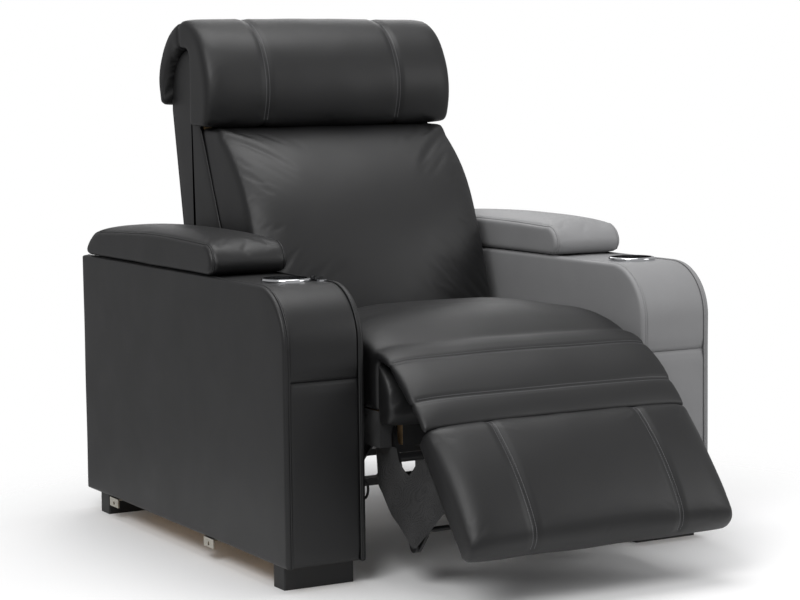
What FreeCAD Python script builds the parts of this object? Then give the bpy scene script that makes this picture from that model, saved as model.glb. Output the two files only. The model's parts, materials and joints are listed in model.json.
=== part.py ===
# Cinema recliner seat: two wide arms with storage and cup holders, a chaise seat whose footrest
# swings out on an open linkage, a reclining back and a headrest that tilts forward.
# Millimetres, +Z up, the seat faces -Y. "Right" and "left" are the sitter's own, so right is -X.
# Pieces are drawn from the arms' front plane (y = 0) and the floor, then moved back by
# plan_centre, so that the origin lies on the floor under the middle of the seat.
import FreeCAD, Part
import math
import os
import Sketcher
from FreeCAD import Placement, Rotation, Vector

doc = FreeCAD.newDocument("cinema_recliner")

drivingSizes = {
    # the whole seat
    "plan_centre": 321.3, "seat_bay": 630.0, "running_gap": 0.3,
    # arms
    "arm_width": 170.0, "arm_length": 998.0, "arm_height": 567.0, "nose_radius": 108.0,
    "corner_radius": 14.0,
    "side_panel": 12.0, "band": 14.0, "piping_step": 1.0, "band_seam_height": 393.0, "board": 15.0,
    "panel_edge_radius": 5.0,
    # feet and the brackets that join neighbouring seats
    "foot_height": 46.0, "foot_width": 146.0, "foot_depth": 47.0, "foot_front_inset": 34.0,
    "foot_rear_inset": 52.0, "foot_chamfer": 2.0,
    "link_plate": 3.0, "link_length": 46.0, "link_drop": 16.0, "link_flange": 24.0,
    "link_foot_gap": 32.0, "link_spacing": 494.0, "link_hole_radius": 4.2,
    # cup holder and hand control
    "cup_y": 154.0, "cup_inner_radius": 41.0, "cup_wall": 1.5, "cup_depth": 68.0,
    "cup_rim_radius": 48.0, "cup_rim_height": 8.0, "cup_hole_gap": 0.4,
    "pod_width": 21.0, "pod_length": 60.0, "pod_height": 4.0, "pod_gap": 1.0, "pod_y": 142.0,
    "button_radius": 6.5, "button_height": 7.5, "button_pitch": 26.0, "button_travel": 1.5,
    # storage bin and its lid
    "bin_width": 112.0, "bin_rear_inset": 70.0, "bin_length": 556.0, "bin_depth": 250.0,
    "bin_wall": 3.0, "bin_rim": 9.0, "bin_corner_radius": 16.0,
    "lid_over_bin": 59.0, "lid_rear_inset": 23.0, "lid_thickness": 64.0,
    "lid_board": 10.0, "lid_board_inset": 18.0,
    "hinge_behind_lid": 8.0, "hinge_pin_radius": 2.0, "hinge_barrel_radius": 4.0,
    "hinge_length": 96.0, "hinge_leaf": 1.2, "pin_clearance": 0.06,
    # seat box and mechanism planes, counted outwards from the middle plane
    "seat_half_width": 293.0, "rail_thickness": 22.0, "rail_inner": 262.0, "rail_depth": 67.0,
    "frame_top": 325.0, "frame_front_y": 2.0, "frame_rear_y": 500.0, "frame_lip": 12.0,
    "side_plate": 5.0, "link_thickness": 6.0, "washer_gap": 1.0,
    "cross_rail_height": 14.0, "cross_rail_depth": 30.0, "cross_rail_z": 160.0,
    "front_cross_y": 132.0, "rear_cross_y": 432.0, "cross_flange": 4.0, "cross_flange_height": 60.0,
    "webbing_width": 55.0, "webbing_thickness": 2.2, "webbing_count": 5.0,
    # footrest and its linkage
    "crease_y": -178.0, "crease_z": 318.0, "footrest_tilt": 40.0, "fold_axis_y": -105.0,
    "fold_axis_z": 425.0, "elbow_y": -70.0, "elbow_z": 78.0, "lug_down_board": 90.0,
    "lug_behind_face": 60.0, "link_end_radius": 12.0, "link_waist": 9.0, "pivot_radius": 5.0,
    "pivot_head_radius": 9.0, "open_pivot_gap": 0.5, "torque_tube_radius": 9.0, "torque_tube_wall": 2.0,
    "torque_tube_reach": 60.0, "footrest_length": 262.0, "footrest_face_depth": 30.0,
    "footrest_board": 15.0, "footrest_crown": 38.0, "bracket_thickness": 6.0, "bracket_flange": 24.0,
    "cover_thickness": 7.0,
    # drive
    "drive_drop": 60.0, "drive_pin_radius": 4.0, "drive_slot_half": 6.3, "drive_lead_angle": 3.0,
    "drive_swing": 37.0, "crank_gap": 15.0, "crank_plate": 5.0, "drive_rail_width": 22.0,
    "drive_rail_top": 206.0, "drive_rail_height": 18.0, "motor_radius": 26.0, "motor_length": 92.0,
    "lead_radius": 2.5,
    # back
    "back_half_width": 280.0, "back_side_panel": 10.0, "back_side_board": 18.0,
    "back_bottom": 352.0, "back_top": 1016.0, "back_seam_bottom_y": 590.0, "back_seam_top_y": 803.0,
    "back_cushion_top": 845.0, "back_front_top_y": 818.0, "back_rear_bottom_y": 850.0,
    "back_rear_top_y": 948.0, "back_rear_bend_z": 880.0, "back_top_radius": 100.0,
    "back_rear_panel": 14.0, "back_crown": 34.0,
    "recline_y": 545.0, "recline_z": 318.0, "recline_pin_radius": 6.0, "recline_lug_radius": 19.0,
    "back_bracket": 5.0,
    # headrest
    "head_half_width": 300.0, "head_axis_y": 745.0, "head_axis_z": 857.0, "head_board": 12.0,
    "head_board_y": 800.0, "head_pin_radius": 4.0, "head_arm_offset": 150.0, "head_arm": 5.0,
    "head_top": 1074.0, "head_slot_half": 12.0,
}

sheet = doc.addObject("Spreadsheet::Sheet", "Sizes")
for row, (alias, number) in enumerate(drivingSizes.items(), start=1):
    sheet.set(f"A{row}", alias.replace("_", " "))
    sheet.set(f"B{row}", str(number))
    sheet.setAlias(f"B{row}", alias)
doc.recompute()


class Size:
    """A length that knows its value and the expression over the sheet that gives it."""

    def __init__(self, value, text):
        self.value = value
        self.text = text

    def joined(self, other, sign, result):
        other = asSize(other)
        return Size(result(self.value, other.value), f"({self.text} {sign} {other.text})")

    def __add__(self, other):
        return self.joined(other, "+", lambda a, b: a + b)

    def __sub__(self, other):
        return self.joined(other, "-", lambda a, b: a - b)

    def __mul__(self, other):
        return self.joined(other, "*", lambda a, b: a * b)

    def __truediv__(self, other):
        return self.joined(other, "/", lambda a, b: a / b)

    def __neg__(self):
        return Size(-self.value, f"(0 - {self.text})")

    __radd__ = __add__
    __rmul__ = __mul__

    def __rsub__(self, other):
        return asSize(other) - self

    def __float__(self):
        return float(self.value)


def asSize(number):
    return number if isinstance(number, Size) else Size(float(number), f"({float(number)})")


def cell(alias):
    return Size(float(sheet.get(alias)), f"Sizes.{alias}")


planCentre = cell("plan_centre")
pieces = []


def bind(thing, prop, size):
    """Tie a property to the sheet, or set it where it is a plain number."""
    size = asSize(size)
    thing.setExpression(prop, size.text)


def place(thing, x=0.0, y=0.0, z=0.0, rotation=None):
    if rotation is not None:
        thing.Placement = Placement(Vector(0, 0, 0), rotation)
    bind(thing, "Placement.Base.x", x)
    bind(thing, "Placement.Base.y", asSize(y) - planCentre)
    bind(thing, "Placement.Base.z", z)


def keep(thing, label):
    """Name a finished piece and put it on the list of sub-parts."""
    thing.Label = label
    pieces.append(thing)
    return thing


def block(name, x, y, z, length, width, height):
    """A board or bar between two corners: x, y, z is the low corner."""
    thing = doc.addObject("Part::Box", name)
    bind(thing, "Length", length)
    bind(thing, "Width", width)
    bind(thing, "Height", height)
    place(thing, x, y, z)
    return thing


acrossX = Rotation(Vector(0, 1, 0), 90)


def rod(name, x, y, z, radius, length):
    """A round bar along +X from x."""
    thing = doc.addObject("Part::Cylinder", name)
    bind(thing, "Radius", radius)
    bind(thing, "Height", length)
    place(thing, x, y, z, acrossX)
    return thing


def fused(name, shapes):
    thing = doc.addObject("Part::MultiFuse", name)
    thing.Shapes = shapes
    return thing


def cut(name, base, tool):
    thing = doc.addObject("Part::Cut", name)
    thing.Base = base
    thing.Tool = tool
    return thing


def group(name, members):
    """Separate solids of the same kind, kept in one sub-part."""
    thing = doc.addObject("Part::Compound", name)
    thing.Links = members
    return thing


def originPlane(body, role):
    return next(f for f in body.Origin.OriginFeatures if f.Role == role)


def drawOutline(sketch, corners):
    """Close a run of straight sides through corners (across, up, radius or None)."""
    points = [Vector(float(c[0]), float(c[1]), 0) for c in corners]
    count = len(points)
    ends = []
    for i, point in enumerate(points):
        radius = float(corners[i][2]) if corners[i][2] is not None else 0.0
        before = (points[i - 1] - point).normalize()
        after = (points[(i + 1) % count] - point).normalize()
        if radius:
            half = before.getAngle(after) / 2
            reach = radius / math.tan(half)
            middle = point + (before + after).normalize() * (radius / math.sin(half))
            ends.append((point + before * reach, point + after * reach, middle, radius))
        else:
            ends.append((point, point, None, 0.0))
    lines = []
    for i in range(count):
        side = Part.LineSegment(ends[i][1], ends[(i + 1) % count][0])
        lines.append(sketch.addGeometry(side, False))
    for i in range(count):
        before, after = lines[i - 1], lines[i]
        start, finish, middle, radius = ends[i]
        if middle is None:
            sketch.addConstraint(Sketcher.Constraint("Coincident", before, 2, after, 1))
            locate(sketch, after, 1, corners[i])
            continue
        toStart, toFinish = start - middle, finish - middle
        first = math.atan2(toStart.y, toStart.x)
        last = math.atan2(toFinish.y, toFinish.x)
        turnsLeft = (toStart.cross(toFinish)).z > 0
        circle = Part.Circle(middle, Vector(0, 0, 1), radius)
        low, high = (first, last) if turnsLeft else (last, first)
        arc = sketch.addGeometry(Part.ArcOfCircle(circle, low, high), False)
        startEnd, finishEnd = (1, 2) if turnsLeft else (2, 1)
        sketch.addConstraint(Sketcher.Constraint("Tangent", before, 2, arc, startEnd))
        sketch.addConstraint(Sketcher.Constraint("Tangent", arc, finishEnd, after, 1))
        rounding = sketch.addConstraint(Sketcher.Constraint("Radius", arc, radius))
        sketch.setExpression(f"Constraints[{rounding}]", asSize(corners[i][2]).text)
        corner = sketch.addGeometry(Part.Point(points[i]), True)
        sketch.addConstraint(Sketcher.Constraint("PointOnObject", corner, 1, before))
        sketch.addConstraint(Sketcher.Constraint("PointOnObject", corner, 1, after))
        locate(sketch, corner, 1, corners[i])


def locate(sketch, geometry, point, corner):
    """Hold a point of the sketch at its distances from the sketch's origin."""
    for kind, distance in (("DistanceX", corner[0]), ("DistanceY", corner[1])):
        distance = asSize(distance)
        rule = Sketcher.Constraint(kind, -1, 1, geometry, point, distance.value)
        index = sketch.addConstraint(rule)
        sketch.setExpression(f"Constraints[{index}]", distance.text)


def drawHole(sketch, across, up, radius):
    circle = Part.Circle(Vector(float(across), float(up), 0), Vector(0, 0, 1), float(radius))
    hole = sketch.addGeometry(circle, False)
    index = sketch.addConstraint(Sketcher.Constraint("Radius", hole, float(radius)))
    sketch.setExpression(f"Constraints[{index}]", asSize(radius).text)
    locate(sketch, hole, 3, (across, up))


def slab(name, corners, thickness, holes=(), plane="YZ_Plane"):
    """A plate with the given side outline and round holes, standing from its plane."""
    body = doc.addObject("PartDesign::Body", name)
    sketch = body.newObject("Sketcher::SketchObject", f"{name}_outline")
    sketch.AttachmentSupport = [(originPlane(body, plane), "")]
    sketch.MapMode = "FlatFace"
    drawOutline(sketch, corners)
    for across, up, radius in holes:
        drawHole(sketch, across, up, radius)
    pad = body.newObject("PartDesign::Pad", f"{name}_pad")
    pad.Profile = sketch
    bind(pad, "Length", thickness)
    return body


def lowEdge(side, inner, thickness):
    """Low x of a layer that starts at inner and goes outwards on one side."""
    return asSize(inner) if side > 0 else -(asSize(inner) + thickness)


gap = cell("running_gap")
armWidth, armLength = cell("arm_width"), cell("arm_length")
binFront = armLength - cell("bin_rear_inset") - cell("bin_length")
lidFront = binFront - cell("lid_over_bin")
lidRear = armLength - cell("lid_rear_inset")
rearFootFront = armLength - cell("foot_rear_inset") - cell("foot_depth")
footHeight, armHeight = cell("foot_height"), cell("arm_height")
bayHalf = cell("seat_bay") / 2
sidePanel, band, step = cell("side_panel"), cell("band"), cell("piping_step")
armSides = (("right", -1), ("left", 1))


def armOutline(inset, bottom):
    """Side outline of the arm, drawn in by inset: upright front, large round nose, flat top."""
    return [
        (inset, footHeight + bottom, None),
        (inset, armHeight - inset, cell("nose_radius") - inset),
        (armLength - inset, armHeight - inset, cell("corner_radius")),
        (armLength - inset, footHeight + bottom, None),
    ]


def softened(body, direction, radius):
    """Round every edge of the body's outermost face on one side."""
    doc.recompute()
    pad = body.Tip
    faces = pad.Shape.Faces
    best = max(range(len(faces)), key=lambda i: faces[i].CenterOfMass.x * direction)
    fillet = body.newObject("PartDesign::Fillet", f"{body.Name}_edge")
    fillet.Base = (pad, [f"Face{best + 1}"])
    bind(fillet, "Radius", radius)
    return body


def armPanels(name, side):
    outline = armOutline(asSize(0), asSize(0))
    outline[0] = (outline[0][0], outline[0][1], cell("corner_radius"))
    outline[3] = (outline[3][0], outline[3][1], cell("corner_radius"))
    outerX = lowEdge(side, bayHalf + armWidth - sidePanel, sidePanel)
    outer = softened(slab(f"{name}_outer", outline, sidePanel), side, cell("panel_edge_radius"))
    place(outer, outerX)
    keep(outer, f"{name}_arm_outer_panel")
    inner = softened(slab(f"{name}_inner", outline, sidePanel), -side, cell("panel_edge_radius"))
    place(inner, lowEdge(side, bayHalf, sidePanel))
    keep(inner, f"{name}_arm_inner_panel")


cupRadius = cell("cup_inner_radius") + cell("cup_wall")
bandTop = armHeight - step


def armMiddle(side):
    return (bayHalf + armWidth / 2) * side


def armBand(name, side):
    """The leather band between the side panels: a front panel, and one length over nose, top and rear."""
    inset = step + band
    outer = armOutline(step, step)
    inner = armOutline(inset, step)
    seam = cell("band_seam_height")
    path = [(step, seam + gap, None), outer[1], outer[2], outer[3],
            (armLength - inset, footHeight + step, None), (armLength - inset, armHeight - inset, None),
            inner[1], (inset, seam + gap, None)]
    width = armWidth - sidePanel * 2
    lowX = lowEdge(side, bayHalf + sidePanel, width)
    strip = slab(f"{name}_strip", path, width)
    place(strip, lowX)
    cupHole = doc.addObject("Part::Cylinder", f"{name}_cup_hole")
    bind(cupHole, "Radius", cupRadius + cell("cup_hole_gap"))
    bind(cupHole, "Height", band * 4)
    place(cupHole, armMiddle(side), cell("cup_y"), bandTop - band * 2)
    binHole = block(f"{name}_bin_hole", armMiddle(side) - cell("bin_width") / 2 - gap,
                    binFront - gap, armHeight - band * 2,
                    cell("bin_width") + gap * 2, cell("bin_length") + gap * 2, band * 3)
    opened = cut(f"{name}_band_cut", strip, fused(f"{name}_band_holes", [cupHole, binHole]))
    front = block(f"{name}_front", lowX, step, footHeight + step, width, band, seam - footHeight - step)
    keep(group(f"{name}_band", [opened, front]), f"{name}_arm_band")


def armFrame(name, side):
    """Plywood carcass: two shaped side boards, front, floor and the two cross boards under the bin."""
    inset = step + band
    board = cell("board")
    outline = armOutline(inset, step)
    outline[2] = (outline[2][0], outline[2][1], None)
    inside = armWidth - sidePanel * 2 - board * 2
    members = []
    for edge, inner in (("near", bayHalf + sidePanel), ("far", bayHalf + armWidth - sidePanel - board)):
        plank = slab(f"{name}_{edge}_board", outline, board)
        place(plank, lowEdge(side, inner, board))
        members.append(plank)
    lowX = lowEdge(side, bayHalf + sidePanel + board, inside)
    floorZ = footHeight + step
    length = armLength - inset * 2
    members.append(block(f"{name}_floor", lowX, inset, floorZ, inside, length, board))
    upright = cell("band_seam_height") - floorZ - board
    members.append(block(f"{name}_front_board", lowX, inset, floorZ + board, inside, board, upright))
    binBottom = armHeight - step - cell("bin_depth")
    rest = binBottom - gap - floorZ - board
    for label, y in (("fore", binFront + board), ("aft", armLength - inset - board)):
        members.append(block(f"{name}_{label}_stand", lowX, y, floorZ + board, inside, board, rest))
    keep(group(f"{name}_carcass", members), f"{name}_arm_frame")


def storageBin(name, side):
    """Moulded tub that hangs by its rim in the top of the arm."""
    wall, rim = cell("bin_wall"), cell("bin_rim")
    width, length, depth = cell("bin_width"), cell("bin_length"), cell("bin_depth")
    lowX = armMiddle(side) - width / 2
    top = armHeight - step
    tub = block(f"{name}_tub", lowX, binFront, top - depth, width, length, depth)
    flange = block(f"{name}_rim", lowX - rim, binFront - rim, top,
                   width + rim * 2, length + rim * 2, wall)
    hollow = block(f"{name}_hollow", lowX + wall, binFront + wall, top - depth + wall,
                   width - wall * 2, length - wall * 2, depth + wall)
    shell = cut(f"{name}_bin_shell", fused(f"{name}_bin_outer", [tub, flange]), hollow)
    doc.recompute()
    upright = [i + 1 for i, edge in enumerate(shell.Shape.Edges)
               if edge.Length > float(depth) - float(wall) * 2 - 0.01 and abs(edge.tangentAt(0).z) > 0.99]
    rounded = doc.addObject("Part::Fillet", f"{name}_bin_round")
    rounded.Base = shell
    outside = float(cell("bin_corner_radius"))
    middle = float(armMiddle(side))
    edges = []
    for index in upright:
        offset = abs(shell.Shape.Edges[index - 1].CenterOfMass.x - middle)
        radius = outside if offset > float(width) / 2 - 0.5 else outside - float(wall)
        edges.append((index, radius, radius))
    rounded.Edges = edges
    keep(rounded, f"{name}_storage_bin")


def cupHolder(name, side):
    """Spun steel cup with a raised round rim that rests on the arm's top."""
    wall, inner = cell("cup_wall"), cell("cup_inner_radius")
    rimTop = cell("cup_rim_height")
    body = doc.addObject("PartDesign::Body", f"{name}_cup")
    sketch = body.newObject("Sketcher::SketchObject", f"{name}_cup_profile")
    sketch.AttachmentSupport = [(originPlane(body, "XZ_Plane"), "")]
    sketch.MapMode = "FlatFace"
    rim = cell("cup_rim_radius")
    drawOutline(sketch, [
        (asSize(0), -cell("cup_depth"), None), (inner + wall, -cell("cup_depth"), None),
        (inner + wall, gap, None), (rim, gap, None), (rim, rimTop, rimTop * 0.45),
        (inner, rimTop, None), (inner, wall - cell("cup_depth"), None),
        (asSize(0), wall - cell("cup_depth"), None)])
    turned = body.newObject("PartDesign::Revolution", f"{name}_cup_turned")
    turned.Profile = sketch
    turned.ReferenceAxis = (sketch, ["V_Axis"])
    turned.Angle = 360.0
    place(body, armMiddle(side), cell("cup_y"), bandTop)
    keep(body, f"{name}_cup_holder")


def feet():
    members = []
    width, depth = cell("foot_width"), cell("foot_depth")
    for name, side in armSides:
        lowX = lowEdge(side, bayHalf + (armWidth - width) / 2, width)
        for end, y in (("front", cell("foot_front_inset")), ("rear", rearFootFront)):
            foot = block(f"{name}_{end}_foot", lowX, y, 0, width, depth, footHeight)
            doc.recompute()
            bevel = doc.addObject("Part::Chamfer", f"{name}_{end}_foot_bevel")
            bevel.Base = foot
            size = float(cell("foot_chamfer"))
            bevel.Edges = [(i + 1, size, size) for i, edge in enumerate(foot.Shape.Edges)
                           if abs(edge.tangentAt(0).z) > 0.99]
            members.append(bevel)
    keep(group("feet_group", members), "feet")


def linkBrackets():
    """Zinc angles under each arm's outer edge, with the bolt holes that join seats in a row."""
    plate, length, flange = cell("link_plate"), cell("link_length"), cell("link_flange")
    members = []
    rearY = rearFootFront - cell("link_foot_gap") - length / 2
    for name, side in armSides:
        outer = bayHalf + armWidth - step
        for end, y in (("fore", rearY - cell("link_spacing")), ("aft", rearY)):
            flat = block(f"{name}_{end}_flat", lowEdge(side, outer - flange, flange), y - length / 2,
                         footHeight - plate, flange, length, plate)
            tab = block(f"{name}_{end}_tab", lowEdge(side, outer - plate, plate), y - length / 2,
                        footHeight - plate - cell("link_drop"), plate, length, cell("link_drop"))
            middleZ = footHeight - plate - cell("link_drop") / 2
            hole = rod(f"{name}_{end}_hole", lowEdge(side, outer - plate * 2, plate * 3), y, middleZ,
                       cell("link_hole_radius"), plate * 3)
            angle = fused(f"{name}_{end}_angle", [flat, tab])
            members.append(cut(f"{name}_{end}_bracket", angle, hole))
    keep(group("link_group", members), "row_link_brackets")


def lidHinge(name, side):
    """Three-knuckle hinge behind the lid: the base leaf holds the pin, the lid leaf turns on it."""
    barrel, pin, length = cell("hinge_barrel_radius"), cell("hinge_pin_radius"), cell("hinge_length")
    leaf = cell("hinge_leaf")
    axisY = lidRear + cell("hinge_behind_lid")
    axisZ = armHeight + barrel + gap
    lowX = armMiddle(side) - length / 2
    knuckle = length / 3
    reach = cell("bin_wall") * 6
    members = []
    for tag, x in (("a", lowX), ("b", lowX + knuckle * 2)):
        members.append(rod(f"{name}_knuckle_{tag}", x, axisY, axisZ, barrel, knuckle - gap))
    members.append(rod(f"{name}_hinge_pin", lowX, axisY, axisZ, pin, length - gap))
    plate = block(f"{name}_base_plate", lowX, axisY - reach, armHeight - step,
                  length, reach + barrel, leaf)
    web = block(f"{name}_base_web", lowX, axisY, armHeight - step, knuckle - gap, barrel,
                barrel + gap + step)
    web2 = block(f"{name}_base_web2", lowX + knuckle * 2, axisY, armHeight - step, knuckle - gap,
                 barrel, barrel + gap + step)
    keep(fused(f"{name}_hinge_base", members + [plate, web, web2]), f"{name}_lid_hinge_base")
    turning = rod(f"{name}_knuckle_c", lowX + knuckle, axisY, axisZ, barrel, knuckle - gap)
    lidZ = lidBottom
    tongue = block(f"{name}_tongue", lowX + knuckle, lidRearBoardY() - reach, lidZ - leaf - gap,
                   knuckle - gap, axisY - lidRearBoardY() + reach, leaf)
    bore = rod(f"{name}_hinge_bore", lowX, axisY, axisZ, pin + cell("pin_clearance"), length)
    keep(cut(f"{name}_hinge_lid", fused(f"{name}_lid_leaf", [turning, tongue]), bore),
         f"{name}_lid_hinge_leaf")


lidBottom = bandTop + cell("bin_wall") + gap


def lidRearBoardY():
    return lidRear - cell("lid_board_inset")


def lidBoard(name, side):
    inset = cell("lid_board_inset")
    board = block(f"{name}_board", lowEdge(side, bayHalf + inset / 2, armWidth - inset),
                  lidFront + inset, lidBottom, armWidth - inset,
                  lidRearBoardY() - lidFront - inset, cell("lid_board"))
    keep(board, f"{name}_lid_board")
    return board


def sectionWire(x, start, steps):
    """A closed section at x: each step is (end,) for a line or (through, end) for an arc."""
    here = Vector(x, *start)
    first = here
    edges = []
    for move in steps:
        end = Vector(x, *move[-1])
        if len(move) == 1:
            edges.append(Part.LineSegment(here, end).toShape())
        else:
            edges.append(Part.Arc(here, Vector(x, *move[0]), end).toShape())
        here = end
    edges.append(Part.LineSegment(here, first).toShape())
    return Part.Wire(edges)


def softShape(stations, section):
    """Loft one soft section through the stations (x, fullness from 0 at the ends to 1)."""
    wires = [sectionWire(x, *section(fullness)) for x, fullness in stations]
    return Part.makeLoft(wires, True, True)


def padStations(middle, half, shoulder):
    """Sections over a pad: drawn-in ends, full shoulders, fullest in the middle."""
    rising = [(half, 0.0), (half - shoulder * 0.3, 0.42), (half - shoulder, 0.7), (half * 0.5, 0.93)]
    left = [(middle - offset, fullness) for offset, fullness in rising]
    right = [(middle + offset, fullness) for offset, fullness in reversed(rising)]
    return left + [(middle, 1.0)] + right


def addSoft(label, shape, placement=None):
    thing = doc.addObject("Part::Feature", label)
    thing.Shape = shape
    back = Placement(Vector(0, -float(planCentre), 0), Rotation())
    thing.Placement = back if placement is None else back.multiply(placement)
    return keep(thing, label)


def lidPad(name, side, board):
    """Padded lid: a low loaf with rounded ends, boxed sides and a slightly arched top."""
    front, rear = float(lidFront), float(lidRear)
    low = float(lidBottom)
    thick = float(cell("lid_thickness"))

    def section(fullness):
        draw = 5.0 * (1 - fullness)
        top = low + thick + 4.0 * fullness - draw
        nose = front + draw
        heel = rear - draw
        return (nose + 22, low), [
            ((nose + 6, low + 0.12 * thick), (nose, low + 0.36 * thick)),
            ((nose + 0.2 * thick, low + 0.78 * thick), (nose + 0.75 * thick, top - 3)),
            (((front + rear) / 2 - 40, top + 2), (heel - 1.35 * thick, top - 10)),
            ((heel - 0.35 * thick, top - 0.42 * thick), (heel, low + 0.22 * thick)),
            ((heel - 3, low + 0.06 * thick), (heel - 12, low)),
        ]

    shape = softShape(padStations(float(armMiddle(side)), float(armWidth) / 2, 16.0), section)
    doc.recompute()
    hollow = board.Shape.copy()
    hollow.translate(Vector(0, float(planCentre), 0))
    addSoft(f"{name}_lid_pad", shape.cut(hollow))


def handControl():
    """Chrome-edged oval pod beside the right cup holder, with two sprung push buttons."""
    width, length, height = cell("pod_width"), cell("pod_length"), cell("pod_height")
    side = -1
    podX = armMiddle(side) - (cell("cup_rim_radius") + cell("pod_gap") + width / 2) * side
    holes = [(asSize(0), cell("button_pitch") * half, cell("button_radius") + gap) for half in (-0.5, 0.5)]
    corner = width / 2 - step / 4
    pod = slab("pod", [(-(width / 2), -(length / 2), corner), (width / 2, -(length / 2), corner),
                       (width / 2, length / 2, corner), (-(width / 2), length / 2, corner)],
               height, holes, "XY_Plane")
    place(pod, podX, cell("pod_y"), bandTop)
    keep(pod, "control_pod")
    for label, half in (("close_button", -0.5), ("open_button", 0.5)):
        button = doc.addObject("Part::Cylinder", label)
        bind(button, "Radius", cell("button_radius"))
        bind(button, "Height", cell("button_height"))
        place(button, podX, cell("pod_y") + cell("button_pitch") * half,
              bandTop + cell("button_travel") + gap)
        keep(button, label)


for sideName, sideSign in armSides:
    armPanels(sideName, sideSign)
    armBand(sideName, sideSign)
    armFrame(sideName, sideSign)
    storageBin(sideName, sideSign)
    cupHolder(sideName, sideSign)
    lidHinge(sideName, sideSign)
    lidPad(sideName, sideSign, lidBoard(sideName, sideSign))
feet()
linkBrackets()
handControl()

# Seat box and the fixed part of the mechanism
railInner, railThick = cell("rail_inner"), cell("rail_thickness")
frameTop, frameBottom = cell("frame_top"), cell("frame_top") - cell("rail_depth")
frameFront, frameRear = cell("frame_front_y"), cell("frame_rear_y")
sidePlate, linkThick, washer = cell("side_plate"), cell("link_thickness"), cell("washer_gap")
plateInner = railInner - sidePlate
rearLinkInner = plateInner - washer - linkThick
frontLinkInner = rearLinkInner - washer - linkThick
lugInner = frontLinkInner - washer - cell("bracket_thickness")
seatHalf = cell("seat_half_width")


def seatFrame():
    """Timber seat box: long side rails, and front and rear rails between the mechanism plates."""
    members = [block(f"side_rail_{name}", lowEdge(side, railInner, railThick), frameFront, frameBottom,
                     railThick, frameRear - frameFront, frameTop - frameBottom)
               for name, side in armSides]
    clear = lugInner - washer * 2
    lip = cell("frame_lip")
    low = block("front_rail", -clear, frameFront, frameBottom, clear * 2, railThick,
                frameTop - frameBottom)
    top = block("front_lip", -railInner, frameFront, frameTop - lip, railInner * 2, railThick, lip)
    members.append(fused("front_rail_lipped", [low, top]))
    rear = block("rear_rail", -plateInner, frameRear - railThick, frameBottom, plateInner * 2, railThick,
                 frameTop - frameBottom)
    members.append(rear)
    keep(group("seat_box", members), "seat_frame")


def strapAcross(count, i, half, width):
    """Low x of strap i of count, spread evenly between the side rails."""
    pitch = (half * 2 - width) / (count - 1)
    return -half + pitch * i


def seatWebbing():
    width, thick = cell("webbing_width"), cell("webbing_thickness")
    count = int(float(cell("webbing_count")))
    members = [block(f"seat_strap_{i}", strapAcross(count, i, railInner - railThick, width), frameFront,
                     frameTop, width, frameRear - frameFront, thick) for i in range(count)]
    keep(group("seat_straps", members), "seat_webbing")


def crossRails():
    """Two flat steel rails from arm to arm, each with upright end plates bolted to the arms."""
    height, depth, flange = cell("cross_rail_height"), cell("cross_rail_depth"), cell("cross_flange")
    members = []
    for end, y in (("front", cell("front_cross_y")), ("rear", cell("rear_cross_y"))):
        bar = block(f"{end}_cross_bar", -bayHalf, y, cell("cross_rail_z"), bayHalf * 2, depth, height)
        ends = [block(f"{end}_cross_end_{name}", lowEdge(side, bayHalf - flange, flange), y,
                      cell("cross_rail_z"), flange, depth, cell("cross_flange_height"))
                for name, side in armSides]
        members.append(fused(f"{end}_cross", [bar] + ends))
    keep(group("cross_rail_pair", members), "cross_rails")


foldAxis = (cell("fold_axis_y"), cell("fold_axis_z"))
tilt = math.radians(float(cell("footrest_tilt")))
downBoard = (asSize(-math.sin(tilt)), asSize(-math.cos(tilt)))
behindBoard = (asSize(math.cos(tilt)), asSize(-math.sin(tilt)))
# the link lug under the footrest; the four pivots make a parallelogram with the fold axis
lugPivot = tuple(cell(start) + downBoard[i] * cell("lug_down_board") + behindBoard[i] *
                 cell("lug_behind_face") for i, start in ((0, "crease_y"), (1, "crease_z")))
elbow = (cell("elbow_y"), cell("elbow_z"))
linkRoot = tuple(elbow[i] - lugPivot[i] + foldAxis[i] for i in (0, 1))
reclineAxis = (cell("recline_y"), cell("recline_z"))


def sidePlates():
    """Shaped steel plates along the seat box: front pivot, cross rail seats and the recline pivot."""
    root, recline = linkRoot, reclineAxis
    lug, end = cell("recline_lug_radius"), cell("link_end_radius") + step
    railZ = cell("cross_rail_z") + cell("cross_rail_height")
    front, rear = cell("front_cross_y"), cell("rear_cross_y") + cell("cross_rail_depth")
    top = frameTop - cell("frame_lip") - gap
    outline = [
        (root[0] - end, root[1] - end, end * 0.6), (root[0] + end * 2, root[1] - end, end),
        (front, railZ + end * 2, end), (front, railZ, None), (rear, railZ, None),
        (rear, frameBottom, end), (recline[0] + lug, recline[1] - lug, lug * 0.8),
        (recline[0] + lug, recline[1] + lug, lug * 0.8), (recline[0] - lug * 2, top, end),
        (root[0] - end, top, end * 0.6)]
    holes = [(root[0], root[1], cell("pivot_radius")), (recline[0], recline[1], cell("recline_pin_radius"))]
    members = []
    for name, side in armSides:
        plate = slab(f"plate_{name}", outline, sidePlate, holes)
        place(plate, lowEdge(side, plateInner, sidePlate))
        members.append(plate)
    keep(group("plate_pair", members), "side_plates")


def stepPin(name, side, axis, outer, tail, head, radius, headRadius):
    """A riveted pivot: shank from its plate inwards, with a flat head at the inner end."""
    length = outer - tail
    shank = rod(f"{name}_shank", lowEdge(side, tail, length), axis[0], axis[1], radius, length)
    cap = rod(f"{name}_head", lowEdge(side, tail, head), axis[0], axis[1], headRadius, head)
    return fused(name, [shank, cap])


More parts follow.
